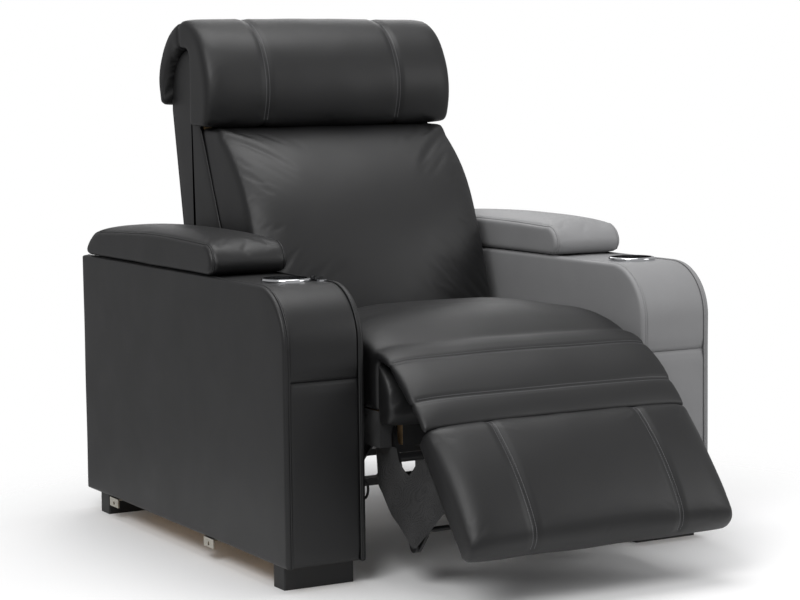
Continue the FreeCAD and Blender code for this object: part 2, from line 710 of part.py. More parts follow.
def fixedPins():
    members = []
    head = washer * 2
    for name, side in armSides:
        members.append(stepPin(f"root_pin_{name}", side, linkRoot, railInner,
                               rearLinkInner - head - gap, head, cell("pivot_radius"),
                               cell("pivot_head_radius")))
        members.append(stepPin(f"recline_pin_{name}", side, reclineAxis, railInner,
                               backBracketInner() - head - gap, head, cell("recline_pin_radius"),
                               cell("recline_pin_radius") * 1.8))
    keep(group("fixed_pins", members), "pivot_pins")


def backBracketInner():
    return cell("back_half_width") - cell("back_side_panel") - cell("back_side_board") - cell("back_bracket")


def turnAboutX(direction):
    """Rotation about X that swings straight down onto a direction in the side view."""
    return Rotation(Vector(1, 0, 0), math.degrees(math.atan2(direction[0], -direction[1])))


def linkBar(name, start, end, holes, wide=None):
    """A flat link with round ends from start to end, its bores at both, lightly waisted."""
    span = (float(end[0]) - float(start[0]), float(end[1]) - float(start[1]))
    length = math.hypot(*span)
    radius = cell("link_end_radius")
    waist = cell("link_waist") if wide is None else wide
    rim = radius * 0.98
    outline = [(-radius, radius, rim), (-radius, asSize(-0.18 * length), radius), (-waist, asSize(-0.3 * length), radius * 2),
               (-waist, asSize(-0.7 * length), radius * 2), (-radius, asSize(-0.82 * length), radius),
               (-radius, asSize(-length) - radius, rim), (radius, asSize(-length) - radius, rim),
               (radius, asSize(-0.82 * length), radius), (waist, asSize(-0.7 * length), radius * 2),
               (waist, asSize(-0.3 * length), radius * 2), (radius, asSize(-0.18 * length), radius),
               (radius, radius, rim)]
    bores = [(asSize(0), asSize(0), holes[0]), (asSize(0), asSize(-length), holes[1])]
    bar = slab(name, outline, linkThick, bores)
    return bar, turnAboutX(span)


def rearLinks():
    """The two long links, joined by the welded torque tube, with the riveted elbow pins."""
    members = []
    bore = cell("pivot_radius") + cell("pin_clearance")
    for name, side in armSides:
        bar, turn = linkBar(f"rear_link_{name}", linkRoot, elbow, (bore, cell("pivot_radius")))
        place(bar, lowEdge(side, rearLinkInner, linkThick), linkRoot[0], linkRoot[1], turn)
        head = washer * 2
        pin = stepPin(f"elbow_pin_{name}", side, elbow, rearLinkInner + linkThick,
                      frontLinkInner - gap - head, head, cell("pivot_radius"), cell("pivot_head_radius"))
        members.append(fused(f"rear_arm_{name}", [bar, pin]))
    keep(group("rear_link_pair", members), "rear_links")


def towards(start, end, reach):
    """The point at a distance from start on the way to end, in the side view."""
    span = math.hypot(float(end[0]) - float(start[0]), float(end[1]) - float(start[1]))
    return tuple(start[i] + (end[i] - start[i]) * (asSize(reach) / span) for i in (0, 1))


def crankPoint(angle, reach):
    """A point at an angle forward of straight down from the link root."""
    turn = math.radians(angle)
    return (linkRoot[0] - asSize(reach) * math.sin(turn), linkRoot[1] - asSize(reach) * math.cos(turn))


def torqueTube():
    """Cross tube welded between the long links, with the slotted crank pair in the middle."""
    at = towards(linkRoot, elbow, cell("torque_tube_reach"))
    radius, wall = cell("torque_tube_radius"), cell("torque_tube_wall")
    solid = rod("tube_outer", -rearLinkInner, at[0], at[1], radius, rearLinkInner * 2)
    lead = float(cell("drive_lead_angle"))
    slotHalf, drop = cell("drive_slot_half"), cell("drive_drop")
    plate = cell("crank_plate")
    farReach = drop * (1 / math.cos(math.radians(float(cell("drive_swing")) + lead)))
    inner, outer = drop - slotHalf, farReach + slotHalf
    rim = slotHalf * 2
    cranks = []
    for name, side in armSides:
        x = lowEdge(side, cell("crank_gap"), plate)
        near, far = crankPoint(lead, inner - slotHalf * 0.4), crankPoint(lead, outer)
        hub = rod(f"crank_hub_{name}", x, at[0], at[1], radius * 1.6, plate)
        low = rod(f"crank_low_{name}", x, near[0], near[1], rim, plate)
        high = rod(f"crank_high_{name}", x, far[0], far[1], rim, plate)
        tongue = doc.addObject("Part::Box", f"crank_tongue_{name}")
        bind(tongue, "Length", plate)
        bind(tongue, "Width", rim * 2)
        bind(tongue, "Height", outer - inner + slotHalf * 0.4)
        corner = crankPoint(lead, outer)
        side_ = (rim * math.cos(math.radians(lead)), rim * math.sin(math.radians(lead)))
        place(tongue, x, corner[0] - side_[0], corner[1] + side_[1],
              Rotation(Vector(1, 0, 0), -lead))
        cranks.append(fused(f"crank_{name}", [hub, low, high, tongue]))
    slotEnds = []
    for tag, reach in (("near", inner + slotHalf * 0.4), ("far", outer - slotHalf * 0.4)):
        point = crankPoint(lead, reach)
        slotEnds.append(rod(f"slot_{tag}", -cell("crank_gap") * 2, point[0], point[1], slotHalf,
                            cell("crank_gap") * 4))
    slot = doc.addObject("Part::Box", "slot_middle")
    bind(slot, "Length", cell("crank_gap") * 4)
    bind(slot, "Width", slotHalf * 2)
    bind(slot, "Height", outer - inner - slotHalf * 0.8)
    corner = crankPoint(lead, outer - slotHalf * 0.4)
    across = (slotHalf * math.cos(math.radians(lead)), slotHalf * math.sin(math.radians(lead)))
    place(slot, -cell("crank_gap") * 2, corner[0] - across[0], corner[1] + across[1],
          Rotation(Vector(1, 0, 0), -lead))
    cranked = cut("cranked_tube", fused("tube_and_cranks", [solid] + cranks),
                  fused("crank_slot", slotEnds + [slot]))
    bore = rod("tube_bore", -rearLinkInner - gap, at[0], at[1], radius - wall,
               rearLinkInner * 2 + gap * 2)
    keep(cut("torque_tube_open", cranked, bore), "torque_tube")


def frontLinks():
    """The two short links from the elbow to the footrest, joined by a thin tie tube."""
    members = []
    bore = cell("pivot_radius") + cell("pin_clearance")
    openBore = cell("pivot_radius") + cell("open_pivot_gap")
    for name, side in armSides:
        bar, turn = linkBar(f"front_link_{name}", elbow, lugPivot, (bore, openBore))
        place(bar, lowEdge(side, frontLinkInner, linkThick), elbow[0], elbow[1], turn)
        members.append(bar)
    at = towards(elbow, lugPivot, cell("torque_tube_reach") * 0.8)
    tie = rod("tie_tube", -frontLinkInner, at[0], at[1], cell("pivot_radius"), frontLinkInner * 2)
    keep(group("front_link_pair", members + [tie]), "front_links")


def linkageCover(name, side):
    """Black cloth hung over the outside of the linkage: a V with its two lobes and the open notch."""
    thick = cell("cover_thickness")
    lowX = lowEdge(side, plateInner - gap * 2, thick)
    edge = [(60, None), (55, 176), (32, 149), (-40, 96), (-78, 76), (-92, 78), (-142, 120), (-206, 172),
            (-225, 190), (-172, 254), (-104, 246), (-70, 212), (-22, 232), (-16, None)]
    corners = [(asSize(y), frameBottom - gap if z is None else asSize(z), None if z is None else asSize(4))
               for y, z in edge]
    cover = slab(f"cover_{name}", corners, thick)
    place(cover, lowX)
    keep(cover, f"linkage_cover_{name}")


foldPose = Rotation(Vector(-1, 0, 0), float(cell("footrest_tilt")))


def onFootrest(thing):
    """Footrest pieces are drawn hanging straight down from the crease, then swung to the rest pose."""
    base = thing.Placement.Base
    drawn = Vector(base.x, base.y + float(planCentre), base.z)
    turned = foldPose.multVec(drawn)
    spin = foldPose.multiply(thing.Placement.Rotation)
    for prop in ("Placement.Base.x", "Placement.Base.y", "Placement.Base.z"):
        thing.setExpression(prop, None)
    thing.Placement = Placement(Vector(turned.x, turned.y, turned.z), spin)
    bind(thing, "Placement.Base.y", cell("crease_y") + turned.y - planCentre)
    bind(thing, "Placement.Base.z", cell("crease_z") + turned.z)
    return thing


def footrestBoard():
    depth, inset = cell("footrest_face_depth"), cell("footrest_board")
    board = block("rest_board", inset - seatHalf, depth, inset * 1.3 - cell("footrest_length"),
                  (seatHalf - inset) * 2, cell("footrest_board"), cell("footrest_length") - inset * 2.4)
    doc.recompute()
    keep(onFootrest(board), "footrest_board")


def footrestBrackets():
    """Pressed angles under the footrest board, each with a lug and its riveted pin."""
    thick, flange = cell("bracket_thickness"), cell("bracket_flange")
    face = cell("footrest_face_depth") + cell("footrest_board")
    lugY, lugZ = cell("lug_behind_face"), -cell("lug_down_board")
    radius = cell("link_end_radius")
    members = []
    for name, side in armSides:
        ear = slab(f"ear_{name}", [(face, lugZ + radius * 2.4, step * 4), (face, lugZ - radius * 2.4, step * 4),
                                   (lugY + radius, lugZ - radius, radius * 0.95),
                                   (lugY + radius, lugZ + radius, radius * 0.95)],
                   thick)
        place(ear, lowEdge(side, lugInner, thick))
        foot = block(f"ear_flange_{name}", lowEdge(side, lugInner - flange + thick, flange), face,
                     lugZ - flange * 2.5, flange, thick / 2, flange * 4)
        pin = rod(f"lug_pin_{name}", lowEdge(side, lugInner, thick + washer + linkThick + washer / 2),
                  lugY, lugZ, cell("pivot_radius"), thick + washer + linkThick + washer / 2)
        members.append(fused(f"lug_{name}", [ear, foot, pin]))
    for member in members:
        doc.recompute()
        for shape in member.Shapes:
            onFootrest(shape)
    keep(group("lug_pair", members), "footrest_brackets")


def footrestPad():
    """Crowned footrest cushion, drawn as hanging: rolled top edge at the crease, wrapped lower end."""
    face, crown = float(cell("footrest_face_depth")), float(cell("footrest_crown"))
    length = float(cell("footrest_length"))
    back = face + float(cell("footrest_board")) + 2
    boardEnd = float(cell("footrest_length") - cell("footrest_board") * 1.3) + float(gap)

    def section(fullness):
        out = crown * fullness
        draw = 5.0 * (1 - fullness)
        return (face - 0.3, -7 - draw), [
            ((12 + draw, -5 - draw),),
            ((3 + draw - 0.35 * out, -10 - draw), (draw - 0.62 * out, -26)),
            ((draw - 2 - out, -0.5 * length), (draw - 0.66 * out, -length + 30)),
            ((5 + draw - 0.3 * out, -length + 6 + draw), (26, -length + draw)),
            ((back - 5, -length + 3 + draw), (back, -length + 12 + draw)),
            ((back, -boardEnd),),
            ((face - 0.3, -boardEnd),),
        ]

    shape = softShape(padStations(0.0, float(seatHalf), 34.0), section)
    spot = Placement(Vector(0, float(cell("crease_y")), float(cell("crease_z"))), foldPose)
    addSoft("footrest_pad", shape, spot)


seatCrown = 26.0
seatFrontTop = 437.0


def seatCushion():
    """Crowned seat cushion on the webbing, highest behind the front edge and falling to the back."""
    low = float(frameTop + cell("webbing_thickness") + gap)
    front = float(frameFront)

    def section(fullness):
        rise = seatCrown * fullness
        draw = 9.0 * (1 - fullness)
        return (front, low), [
            ((front, seatFrontTop - 2 + 0.45 * rise - draw),),
            ((70, 457 + 0.85 * rise - draw), (180, 459 + rise - draw)),
            ((330, 452 + rise - draw), (428, 434 + 0.7 * rise - draw)),
            ((450 - draw, 426 + 0.4 * rise - draw), (456 - draw, 400)),
            ((456 - draw, low),),
        ]

    addSoft("seat_cushion", softShape(padStations(0.0, float(seatHalf), 40.0), section))


def seatFrontPad():
    """The rolled front of the seat box, under the chaise flap."""
    back = float(frameFront) - float(gap)
    padBottom = float(linkRoot[1] + cell("link_end_radius")) - 4.5

    def section(fullness):
        out = 1 - 0.16 * (1 - fullness)
        return (back, 419), [
            ((-38 * out, 386), (-54 * out, 346)),
            ((-50 * out, 314), (-22 * out, padBottom)),
            ((back, padBottom),),
        ]

    addSoft("seat_front_pad", softShape(padStations(0.0, float(seatHalf) - 2, 30.0), section))


def chaiseFlap():
    """Padded flap from the seat's front edge to the footrest, with its two cross seams drawn in."""
    thick = 13.0
    front = float(frameFront) - float(gap) * 2

    def section(fullness):
        rise = seatCrown * fullness * 0.5
        draw = 4.0 * (1 - fullness)
        return (front, seatFrontTop + 0.9 * rise - draw), [
            ((-27, 434 + rise - draw), (-55, 419 + rise - draw)),
            ((-101, 392 + rise - draw), (-140, 355 + rise - draw)),
            ((-160, 340 + rise - draw), (-171, 327 - 2 * draw + 0.6 * rise),),
            ((-164 + 0.2 * draw, 318 - draw + 0.2 * rise),),
            ((-150, 330 - draw + 0.5 * rise), (-133, 345 - thick + 10 + rise - draw)),
            ((-95, 381 - thick + 2 + rise - draw), (-52, 419 - thick + rise - draw)),
            ((-27, 430 - thick + rise - draw), (front, seatFrontTop - thick + 0.9 * rise - draw)),
        ]

    addSoft("chaise_flap", softShape(padStations(0.0, float(seatHalf), 34.0), section))


def drive():
    """Linear drive under the seat: a fixed rail with its motor, and the block that works the crank."""
    width, height, top = cell("drive_rail_width"), cell("drive_rail_height"), cell("drive_rail_top")
    pinZ = linkRoot[1] - cell("drive_drop")
    pinY = linkRoot[0] - cell("drive_drop") * math.tan(math.radians(float(cell("drive_lead_angle"))))
    front, rear = cell("fold_axis_y") + 62, cell("rear_cross_y") + cell("cross_rail_depth")
    rail = block("rail_bar", -(width / 2), front, top - height, width, rear - front, height)
    cradles = [block(f"rail_cradle_{end}", -width, y, cell("cross_rail_z") + cell("cross_rail_height"),
                     width * 2, cell("cross_rail_depth"),
                     top - height - cell("cross_rail_z") - cell("cross_rail_height"))
               for end, y in (("front", cell("front_cross_y")), ("rear", cell("rear_cross_y")))]
    keep(fused("rail_and_cradles", [rail] + cradles), "drive_rail")
    radius, length = cell("motor_radius"), cell("motor_length")
    motorY = rear - length
    can = rod("motor_can", -(length / 2), motorY + radius, top + radius + gap, radius, length)
    gearbox = block("motor_gearbox", -(width / 2), motorY - radius, top, width * 1.4, radius * 2, radius * 2)
    keep(fused("motor_unit", [can, gearbox]), "drive_motor")
    halfLong, halfTop = cell("drive_slot_half") * 1.9, cell("drive_pin_radius") + 2
    reach = cell("crank_gap") + cell("crank_plate") + washer * 2
    cheek = cell("crank_gap") - gap * 2
    saddle = block("block_saddle", -cheek, pinY - halfLong, top - height, cheek * 2, halfLong * 2, height + 6)
    post = block("block_post", -cheek, pinY - halfTop, top + 6, cheek * 2, halfTop * 2, pinZ - top - 1)
    channel = block("block_channel", -(width / 2) - gap, pinY - halfLong * 2, top - height * 2,
                    width + gap * 2, halfLong * 4, height * 2 + gap)
    pin = rod("block_pin", -reach, pinY, pinZ, cell("drive_pin_radius"), reach * 2)
    body = cut("block_open", fused("block_solid", [saddle, post]), channel)
    keep(fused("block_whole", [body, pin]), "drive_block")


def controlLead():
    """Thin lead from the right arm's inner side, sagging to the cross rail and on to the motor."""
    radius = float(cell("lead_radius"))
    armX = -float(bayHalf)
    railUnder = float(cell("cross_rail_z")) - radius - 0.3
    motorY = float(cell("rear_cross_y") + cell("cross_rail_depth") - cell("motor_length"))
    motorLength, motorRadius = float(cell("motor_length")), float(cell("motor_radius"))
    points = [Vector(armX + 0.1, 34, 192), Vector(armX + 22, 34, 192), Vector(armX + 34, 58, 152),
              Vector(armX + 40, 108, 140), Vector(armX + 60, 160, railUnder - 2),
              Vector(armX + 110, 210, railUnder - 4), Vector(armX + 170, 262, 150),
              Vector(armX + 212, 312, 176), Vector(armX + 232, motorY + motorRadius, 226),
              Vector(-motorLength / 2 - 0.2, motorY + motorRadius, 226)]
    addSoft("control_lead", roundedTube(points, radius))


def roundedTube(points, radius):
    """A tube along straight runs joined by tangent arcs that use 0.45 of the shorter run."""
    edges = []
    here = points[0]
    for i in range(1, len(points) - 1):
        back, ahead = points[i - 1] - points[i], points[i + 1] - points[i]
        reach = 0.45 * min(back.Length, ahead.Length)
        back.normalize()
        ahead.normalize()
        start, end = points[i] + back * reach, points[i] + ahead * reach
        half = back.getAngle(ahead) / 2
        bend = reach * math.tan(half)
        inward = (back + ahead).normalize()
        middle = points[i] + inward * (bend / math.sin(half) - bend)
        edges.append(Part.LineSegment(here, start).toShape())
        edges.append(Part.Arc(start, middle, end).toShape())
        here = end
    edges.append(Part.LineSegment(here, points[-1]).toShape())
    spine = Part.Wire(edges)
    circle = Part.Circle(points[0], (points[1] - points[0]).normalize(), radius)
    tube = spine.makePipeShell([Part.Wire([circle.toShape()])], True, False)
    print("lead length", round(spine.Length, 1),
          "fill", round(tube.Volume / (math.pi * radius ** 2 * spine.Length), 3))
    return tube


seatFrame()
seatWebbing()
crossRails()
sidePlates()
fixedPins()
rearLinks()
torqueTube()
frontLinks()
for sideName, sideSign in armSides:
    linkageCover(sideName, sideSign)
footrestBoard()
footrestBrackets()
footrestPad()
seatCushion()
seatFrontPad()
chaiseFlap()
drive()
controlLead()

# Back
backHalf = cell("back_half_width")
backBottom, backTop = cell("back_bottom"), cell("back_top")
seamSlope = (cell("back_seam_top_y") - cell("back_seam_bottom_y")) / (
    cell("back_cushion_top") - backBottom)


headRailZ = cell("back_cushion_top") + cell("back_side_board")


def seamY(z):
    """The leaning line between the back's cushion and its side panels."""
    return cell("back_seam_bottom_y") + seamSlope * (z - backBottom)


def backOutline(rearInset):
    """Side outline of the back behind its cushion: leaning seam line, top step, round top, rear."""
    rearTop = cell("back_rear_top_y") - rearInset
    return [
        (cell("back_seam_bottom_y"), backBottom, None),
        (cell("back_seam_top_y"), cell("back_cushion_top"), None),
        (cell("back_front_top_y"), headRailZ, None),
        (cell("back_front_top_y"), backTop, cell("back_top_radius") * 0.28),
        (rearTop, backTop, cell("back_top_radius") - rearInset),
        (rearTop, cell("back_rear_bend_z"), None),
        (cell("back_rear_bottom_y") - rearInset, backBottom, None),
    ]


def backShell():
    """Padded side panels and rear panel of the back."""
    panel, board = cell("back_side_panel"), cell("back_side_board")
    rear = cell("back_rear_panel")
    sides = []
    for name, side in armSides:
        skin = slab(f"back_skin_{name}", backOutline(asSize(0)), panel)
        place(skin, lowEdge(side, backHalf - panel, panel))
        sides.append(skin)
    keep(group("back_skins", sides), "back_side_panels")
    across = (backHalf - panel) * 2
    topZ = backTop - cell("back_top_radius")
    rearY, bendZ = cell("back_rear_top_y"), cell("back_rear_bend_z")
    sheetOutline = [(cell("back_rear_bottom_y"), backBottom, None), (rearY, bendZ, None),
                    (rearY, topZ, None), (rearY - rear, topZ, None), (rearY - rear, bendZ, None),
                    (cell("back_rear_bottom_y") - rear, backBottom, None)]
    cover = slab("back_rear", sheetOutline, across)
    place(cover, -(across / 2))
    keep(cover, "back_rear_panel")
    frames = []
    for name, side in armSides:
        plank = slab(f"back_board_{name}", backOutline(rear), board)
        place(plank, lowEdge(side, backHalf - panel - board, board))
        frames.append(plank)
    inner = backHalf - panel - board
    tall, middleZ = board * 3, backBottom + 240
    middleY = seamY(middleZ + tall) + cell("webbing_thickness") + gap
    for label, half, y, z, deep, height in (
            ("bottom", backBracketInner(), seamY(backBottom) + board, backBottom, board * 3, board),
            ("middle", inner, middleY, middleZ, board, tall),
            ("top", inner, cell("back_front_top_y"), headRailZ, board, tall)):
        frames.append(block(f"back_{label}_rail", -half, y, z, half * 2, deep, height))
    keep(group("back_timber", frames), "back_frame")


def backWebbing():
    """Straps up the back, leaning with the seam line, from the bottom rail to the cushion's top."""
    thick, width = cell("webbing_thickness"), cell("webbing_width")
    inner = backHalf - cell("back_side_panel") - cell("back_side_board")
    top, low = cell("back_cushion_top") - band, backBottom + band
    topY, lowY = seamY(top), seamY(low)
    members = []
    count = int(float(cell("webbing_count"))) - 1
    for i in range(count):
        strap = slab(f"back_strap_{i}", [(lowY, low, None), (topY, top, None), (topY + thick, top, None),
                                         (lowY + thick, low, None)], width)
        place(strap, strapAcross(count, i, inner - width, width))
        members.append(strap)
    keep(group("back_straps", members), "back_webbing")


def backBrackets():
    """Steel plates inside the back's side boards that hang down to the recline pivots."""
    thick, lug = cell("back_bracket"), cell("recline_lug_radius")
    y, z = reclineAxis
    top = backBottom + lug * 5
    outline = [(y - lug, z - lug, lug * 0.95), (y + lug, z - lug, lug * 0.95),
               (y + lug * 1.4, z + lug, lug), (seamY(backBottom) + lug * 6, backBottom + lug, lug),
               (seamY(backBottom) + lug * 7, top, lug), (seamY(top) + step, top, lug),
               (seamY(backBottom) + step, backBottom - gap * 2, None), (y - lug, z + lug, lug * 0.8)]
    bore = cell("recline_pin_radius") + cell("pin_clearance")
    members = []
    for name, side in armSides:
        plate = slab(f"back_plate_{name}", outline, thick, [(y, z, bore)])
        place(plate, lowEdge(side, backBracketInner(), thick))
        members.append(plate)
    keep(group("back_plate_pair", members), "back_brackets")


def backCushion():
    """Crowned back cushion: near-upright at the waist, rolling back at the top under the headrest."""
    crown = float(cell("back_crown"))
    low, top = float(backBottom), float(cell("back_cushion_top"))
    seamLow, seamTop = float(cell("back_seam_bottom_y")) - 0.4, float(cell("back_seam_top_y")) - 0.4

    def section(fullness):
        out = crown * fullness
        draw = 7.0 * (1 - fullness)
        return (seamLow, low), [
            ((seamTop, top),),
            ((728, top),),
            ((706, top - 4 - draw * 0.4), (690 + draw, top - 17 - draw)),
            ((618 + draw - 0.8 * out, 742), (566 + draw - out, 642)),
            ((514 + draw - out, 470), (486 + draw - 0.3 * out, low + 10)),
            ((494, low), (508, low)),
        ]

    addSoft("back_cushion", softShape(padStations(0.0, float(backHalf), 40.0), section))


def headPads():
    """The saddle headrest: a thick roll in front and over the top, and the flap down the rear."""
    half = float(cell("head_half_width"))
    top = float(cell("head_top"))
    slotHalf, armAt = float(cell("head_slot_half")), float(cell("head_arm_offset"))
    innerY = float(cell("head_board_y")) - 0.3
    splitY, slotFront = 862.0, float(cell("head_axis_y")) - 9
    rearY, topZ = float(cell("back_rear_top_y") + gap), float(backTop + gap)

    def roll(fullness):
        out = 16 * fullness
        draw = 9.0 * (1 - fullness)
        return (innerY, 852), [
            ((752, 851),),
            ((733 + draw, 853 + draw), (727 + draw - 0.4 * out, 872)),
            ((718 + draw - out, 940), (737 + draw - out, 1004 - draw)),
            ((777 + draw - 0.6 * out, top - 24 - draw), (820, top - 3 - draw)),
            ((842, top - draw), (splitY, top - 4 - draw)),
            ((splitY, topZ),),
            ((848, topZ), (834, topZ - 1),),
            ((808, topZ - 8), (innerY, topZ - 30)),
        ]

    def flap(fullness):
        draw = 8.0 * (1 - fullness)
        return (splitY + 0.4, topZ), [
            ((splitY + 0.4, top - 4 - draw),),
            ((926 - draw, top - 30 - draw), (968 - draw, top - 84)),
            ((983 - draw, 945), (976 - draw, 906 + draw)),
            ((966, 890 + draw), (rearY, 896 + draw)),
            ((rearY, 920),),
            ((rearY - 27, topZ - 24), (rearY - 78, topZ)),
        ]

    shape = softShape(padStations(0.0, half, 26.0), roll)
    for side in (-1, 1):
        slot = Part.makeBox(slotHalf * 2, innerY - slotFront + 4, 106,
                            Vector(side * armAt - slotHalf, slotFront, 838))
        shape = shape.cut(slot)
    addSoft("head_pad", shape)

    addSoft("head_rear_flap", softShape(padStations(0.0, half, 26.0), flap))


def headHardware():
    """Head board, and the hinge: brackets from the back frame, leaves up to the board."""
    board, y0 = cell("head_board"), cell("head_board_y")
    axis = (cell("head_axis_y"), cell("head_axis_z"))
    pin, arm, at = cell("head_pin_radius"), cell("head_arm"), cell("head_arm_offset")
    eye = pin * 2
    plate = block("head_plate", -(backHalf - band), y0, axis[1] + eye + 6, (backHalf - band) * 2, board,
                  cell("head_top") - axis[1] - eye - 92)
    keep(plate, "head_board")
    brackets, leaves = [], []
    frameY = cell("back_front_top_y")
    for name, side in armSides:
        strap = slab(f"head_strap_{name}", [
            (axis[0] - eye, axis[1] - eye, eye * 0.95), (frameY - gap, axis[1] - eye, None),
            (frameY - gap, headRailZ + cell("back_side_board") * 2, None),
            (frameY - arm + gap, headRailZ + cell("back_side_board") * 2, None),
            (frameY - arm + gap, axis[1] + eye, None), (axis[0] - eye, axis[1] + eye, eye * 0.95)], arm)
        place(strap, lowEdge(side, at - arm - washer / 2, arm))
        stub = rod(f"head_pin_{name}", lowEdge(side, at - arm - washer / 2, arm * 2 + washer * 2), axis[0],
                   axis[1], pin, arm * 2 + washer * 2)
        brackets.append(fused(f"head_bracket_{name}", [strap, stub]))
        leaf = slab(f"head_leaf_{name}", [
            (axis[0] - eye, axis[1] - eye, eye * 0.95), (axis[0] + eye, axis[1] - eye, eye * 0.9),
            (y0, axis[1] + eye + 8, eye), (y0, axis[1] + eye * 10, step * 3),
            (y0 - eye, axis[1] + eye * 10, step * 3), (axis[0] - eye, axis[1] + eye, eye * 0.9)], arm,
            [(axis[0], axis[1], pin + cell("pin_clearance"))])
        place(leaf, lowEdge(side, at + washer / 2, arm))
        leaves.append(leaf)
    keep(group("head_brackets", brackets), "head_hinge_brackets")
    keep(group("head_leaves", leaves), "head_hinge_leaves")


backShell()
backWebbing()
backBrackets()
backCushion()
headPads()
headHardware()

doc.recompute()
faults = [thing.Name for thing in doc.Objects if "Invalid" in thing.State or "Error" in thing.State]
if faults:
    raise RuntimeError(f"these objects failed: {faults}")
for piece in pieces:
    if piece.Shape.isNull() or not piece.Shape.isValid() or not piece.Shape.Solids:
        raise RuntimeError(f"no valid solid in {piece.Label}")

os.makedirs("parts", exist_ok=True)
for piece in pieces:
    piece.Shape.exportStep(f"parts/{piece.Label}.step")
print(len(pieces), "sub-parts")
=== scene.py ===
import json
import math

import bmesh
import bpy
import numpy as np
from mathutils import Matrix, Vector, noise
from mathutils.bvhtree import BVHTree


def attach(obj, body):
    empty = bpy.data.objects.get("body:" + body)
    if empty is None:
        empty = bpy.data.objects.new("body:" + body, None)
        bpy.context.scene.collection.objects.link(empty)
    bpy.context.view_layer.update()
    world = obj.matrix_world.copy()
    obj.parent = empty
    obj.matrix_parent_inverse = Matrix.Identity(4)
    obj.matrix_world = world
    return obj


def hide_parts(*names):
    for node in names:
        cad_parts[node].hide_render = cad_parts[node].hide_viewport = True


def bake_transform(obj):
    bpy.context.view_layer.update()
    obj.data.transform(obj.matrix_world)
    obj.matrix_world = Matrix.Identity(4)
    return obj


# Cinema recliner seat. Pieces are drawn in millimetres from the arms' front plane (y = 0) and the
# floor, as in the CAD, and moved back by planCentre into the frame's metres.

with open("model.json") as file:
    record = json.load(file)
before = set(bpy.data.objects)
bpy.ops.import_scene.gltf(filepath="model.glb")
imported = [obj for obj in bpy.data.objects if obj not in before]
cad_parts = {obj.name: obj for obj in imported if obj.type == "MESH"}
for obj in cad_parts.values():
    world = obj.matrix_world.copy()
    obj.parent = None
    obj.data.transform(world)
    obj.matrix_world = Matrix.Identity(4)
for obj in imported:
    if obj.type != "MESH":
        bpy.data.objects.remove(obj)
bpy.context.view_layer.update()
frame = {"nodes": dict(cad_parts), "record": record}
planCentre = 321.3
scene = bpy.context.scene
scene.view_settings.view_transform = "Standard"
print("frame loaded,", len(frame["nodes"]), "nodes")


def at(x, y, z):
    return Vector((x, y - planCentre, z)) / 1000


# camera: in front of the seat's right arm, a little above the seat

cameraCard = {
    "spot": (-2294.88, -3668.86, 963.59),
    "yaw": 0.51088,      # towards +X from straight ahead
    "pitch": 0.1017,     # downwards
    "roll": -0.01157,
    "lens": 101.25,
}


def makeCamera(card):
    data = bpy.data.cameras.new("photoCamera")
    data.lens, data.sensor_width, data.clip_end = card["lens"], 36, 50
    camera = bpy.data.objects.new("photoCamera", data)
    yaw, pitch, roll = card["yaw"], card["pitch"], card["roll"]
    ahead = Vector((math.sin(yaw) * math.cos(pitch), math.cos(yaw) * math.cos(pitch), -math.sin(pitch)))
    across = Vector((math.cos(yaw), -math.sin(yaw), 0))
    upward = across.cross(ahead)
    right = across * math.cos(roll) + upward * math.sin(roll)
    top = upward * math.cos(roll) - across * math.sin(roll)
    turned = Matrix((right, top, -ahead)).transposed()
    camera.matrix_world = Matrix.Translation(at(*card["spot"])) @ turned.to_4x4()
    scene.collection.objects.link(camera)
    scene.camera = camera


makeCamera(cameraCard)

# light, floor and a backdrop that stays white to the camera

lightCard = {
    "key": {"spot": (-2600, -1900, 3000), "aim": (0, 300, 500), "size": 2.0, "power": 76},
    "fill": {"spot": (2900, -2300, 1900), "aim": (0, 300, 500), "size": 2.0, "power": 30},
    "top": {"spot": (200, 500, 3600), "aim": (0, 300, 500), "size": 2.4, "power": 58},
    "rear": {"spot": (1500, 3600, 2400), "aim": (0, 500, 700), "size": 2.0, "power": 22},
}


def makeLight(name, card):
    data = bpy.data.lights.new(name, "AREA")
    data.shape, data.size, data.energy = "DISK", card["size"], card["power"]
    lamp = bpy.data.objects.new(name, data)
    spot, aim = at(*card["spot"]), at(*card["aim"])
    lamp.matrix_world = Matrix.Translation(spot) @ (aim - spot).to_track_quat("-Z", "Y").to_matrix().to_4x4()
    scene.collection.objects.link(lamp)


for lightName, card in lightCard.items():
    makeLight(lightName, card)


def linearColour(hexText):
    parts = [int(hexText[i:i + 2], 16) / 255 for i in (1, 3, 5)]
    return [p / 12.92 if p <= 0.04045 else ((p + 0.055) / 1.055) ** 2.4 for p in parts] + [1.0]


def addNode(tree, kind, links=None, **settings):
    node = tree.nodes.new(kind)
    for name, value in settings.items():
        setattr(node, name, value)
    for name, value in (links or {}).items():
        if isinstance(value, bpy.types.NodeSocket):
            tree.links.new(value, node.inputs[name])
        else:
            node.inputs[name].default_value = value
    return node


def newMaterial(name):
    material = bpy.data.materials.new(name)
    material.use_nodes = True
    tree = material.node_tree
    tree.nodes.clear()
    spot = addNode(tree, "ShaderNodeTexCoord").outputs["Object"]
    return material, tree, spot


def finishMaterial(tree, colour, roughness, height=None, bumpDepth=0.0002, **principled):
    links = {"Base Color": colour, "Roughness": roughness}
    if height is not None:
        bump = addNode(tree, "ShaderNodeBump", {"Height": height, "Distance": bumpDepth, "Strength": 1.0})
        links["Normal"] = bump.outputs["Normal"]
    for key, value in principled.items():
        links[key.replace("_", " ")] = value
    shader = addNode(tree, "ShaderNodeBsdfPrincipled", links)
    addNode(tree, "ShaderNodeOutputMaterial", {"Surface": shader.outputs["BSDF"]})


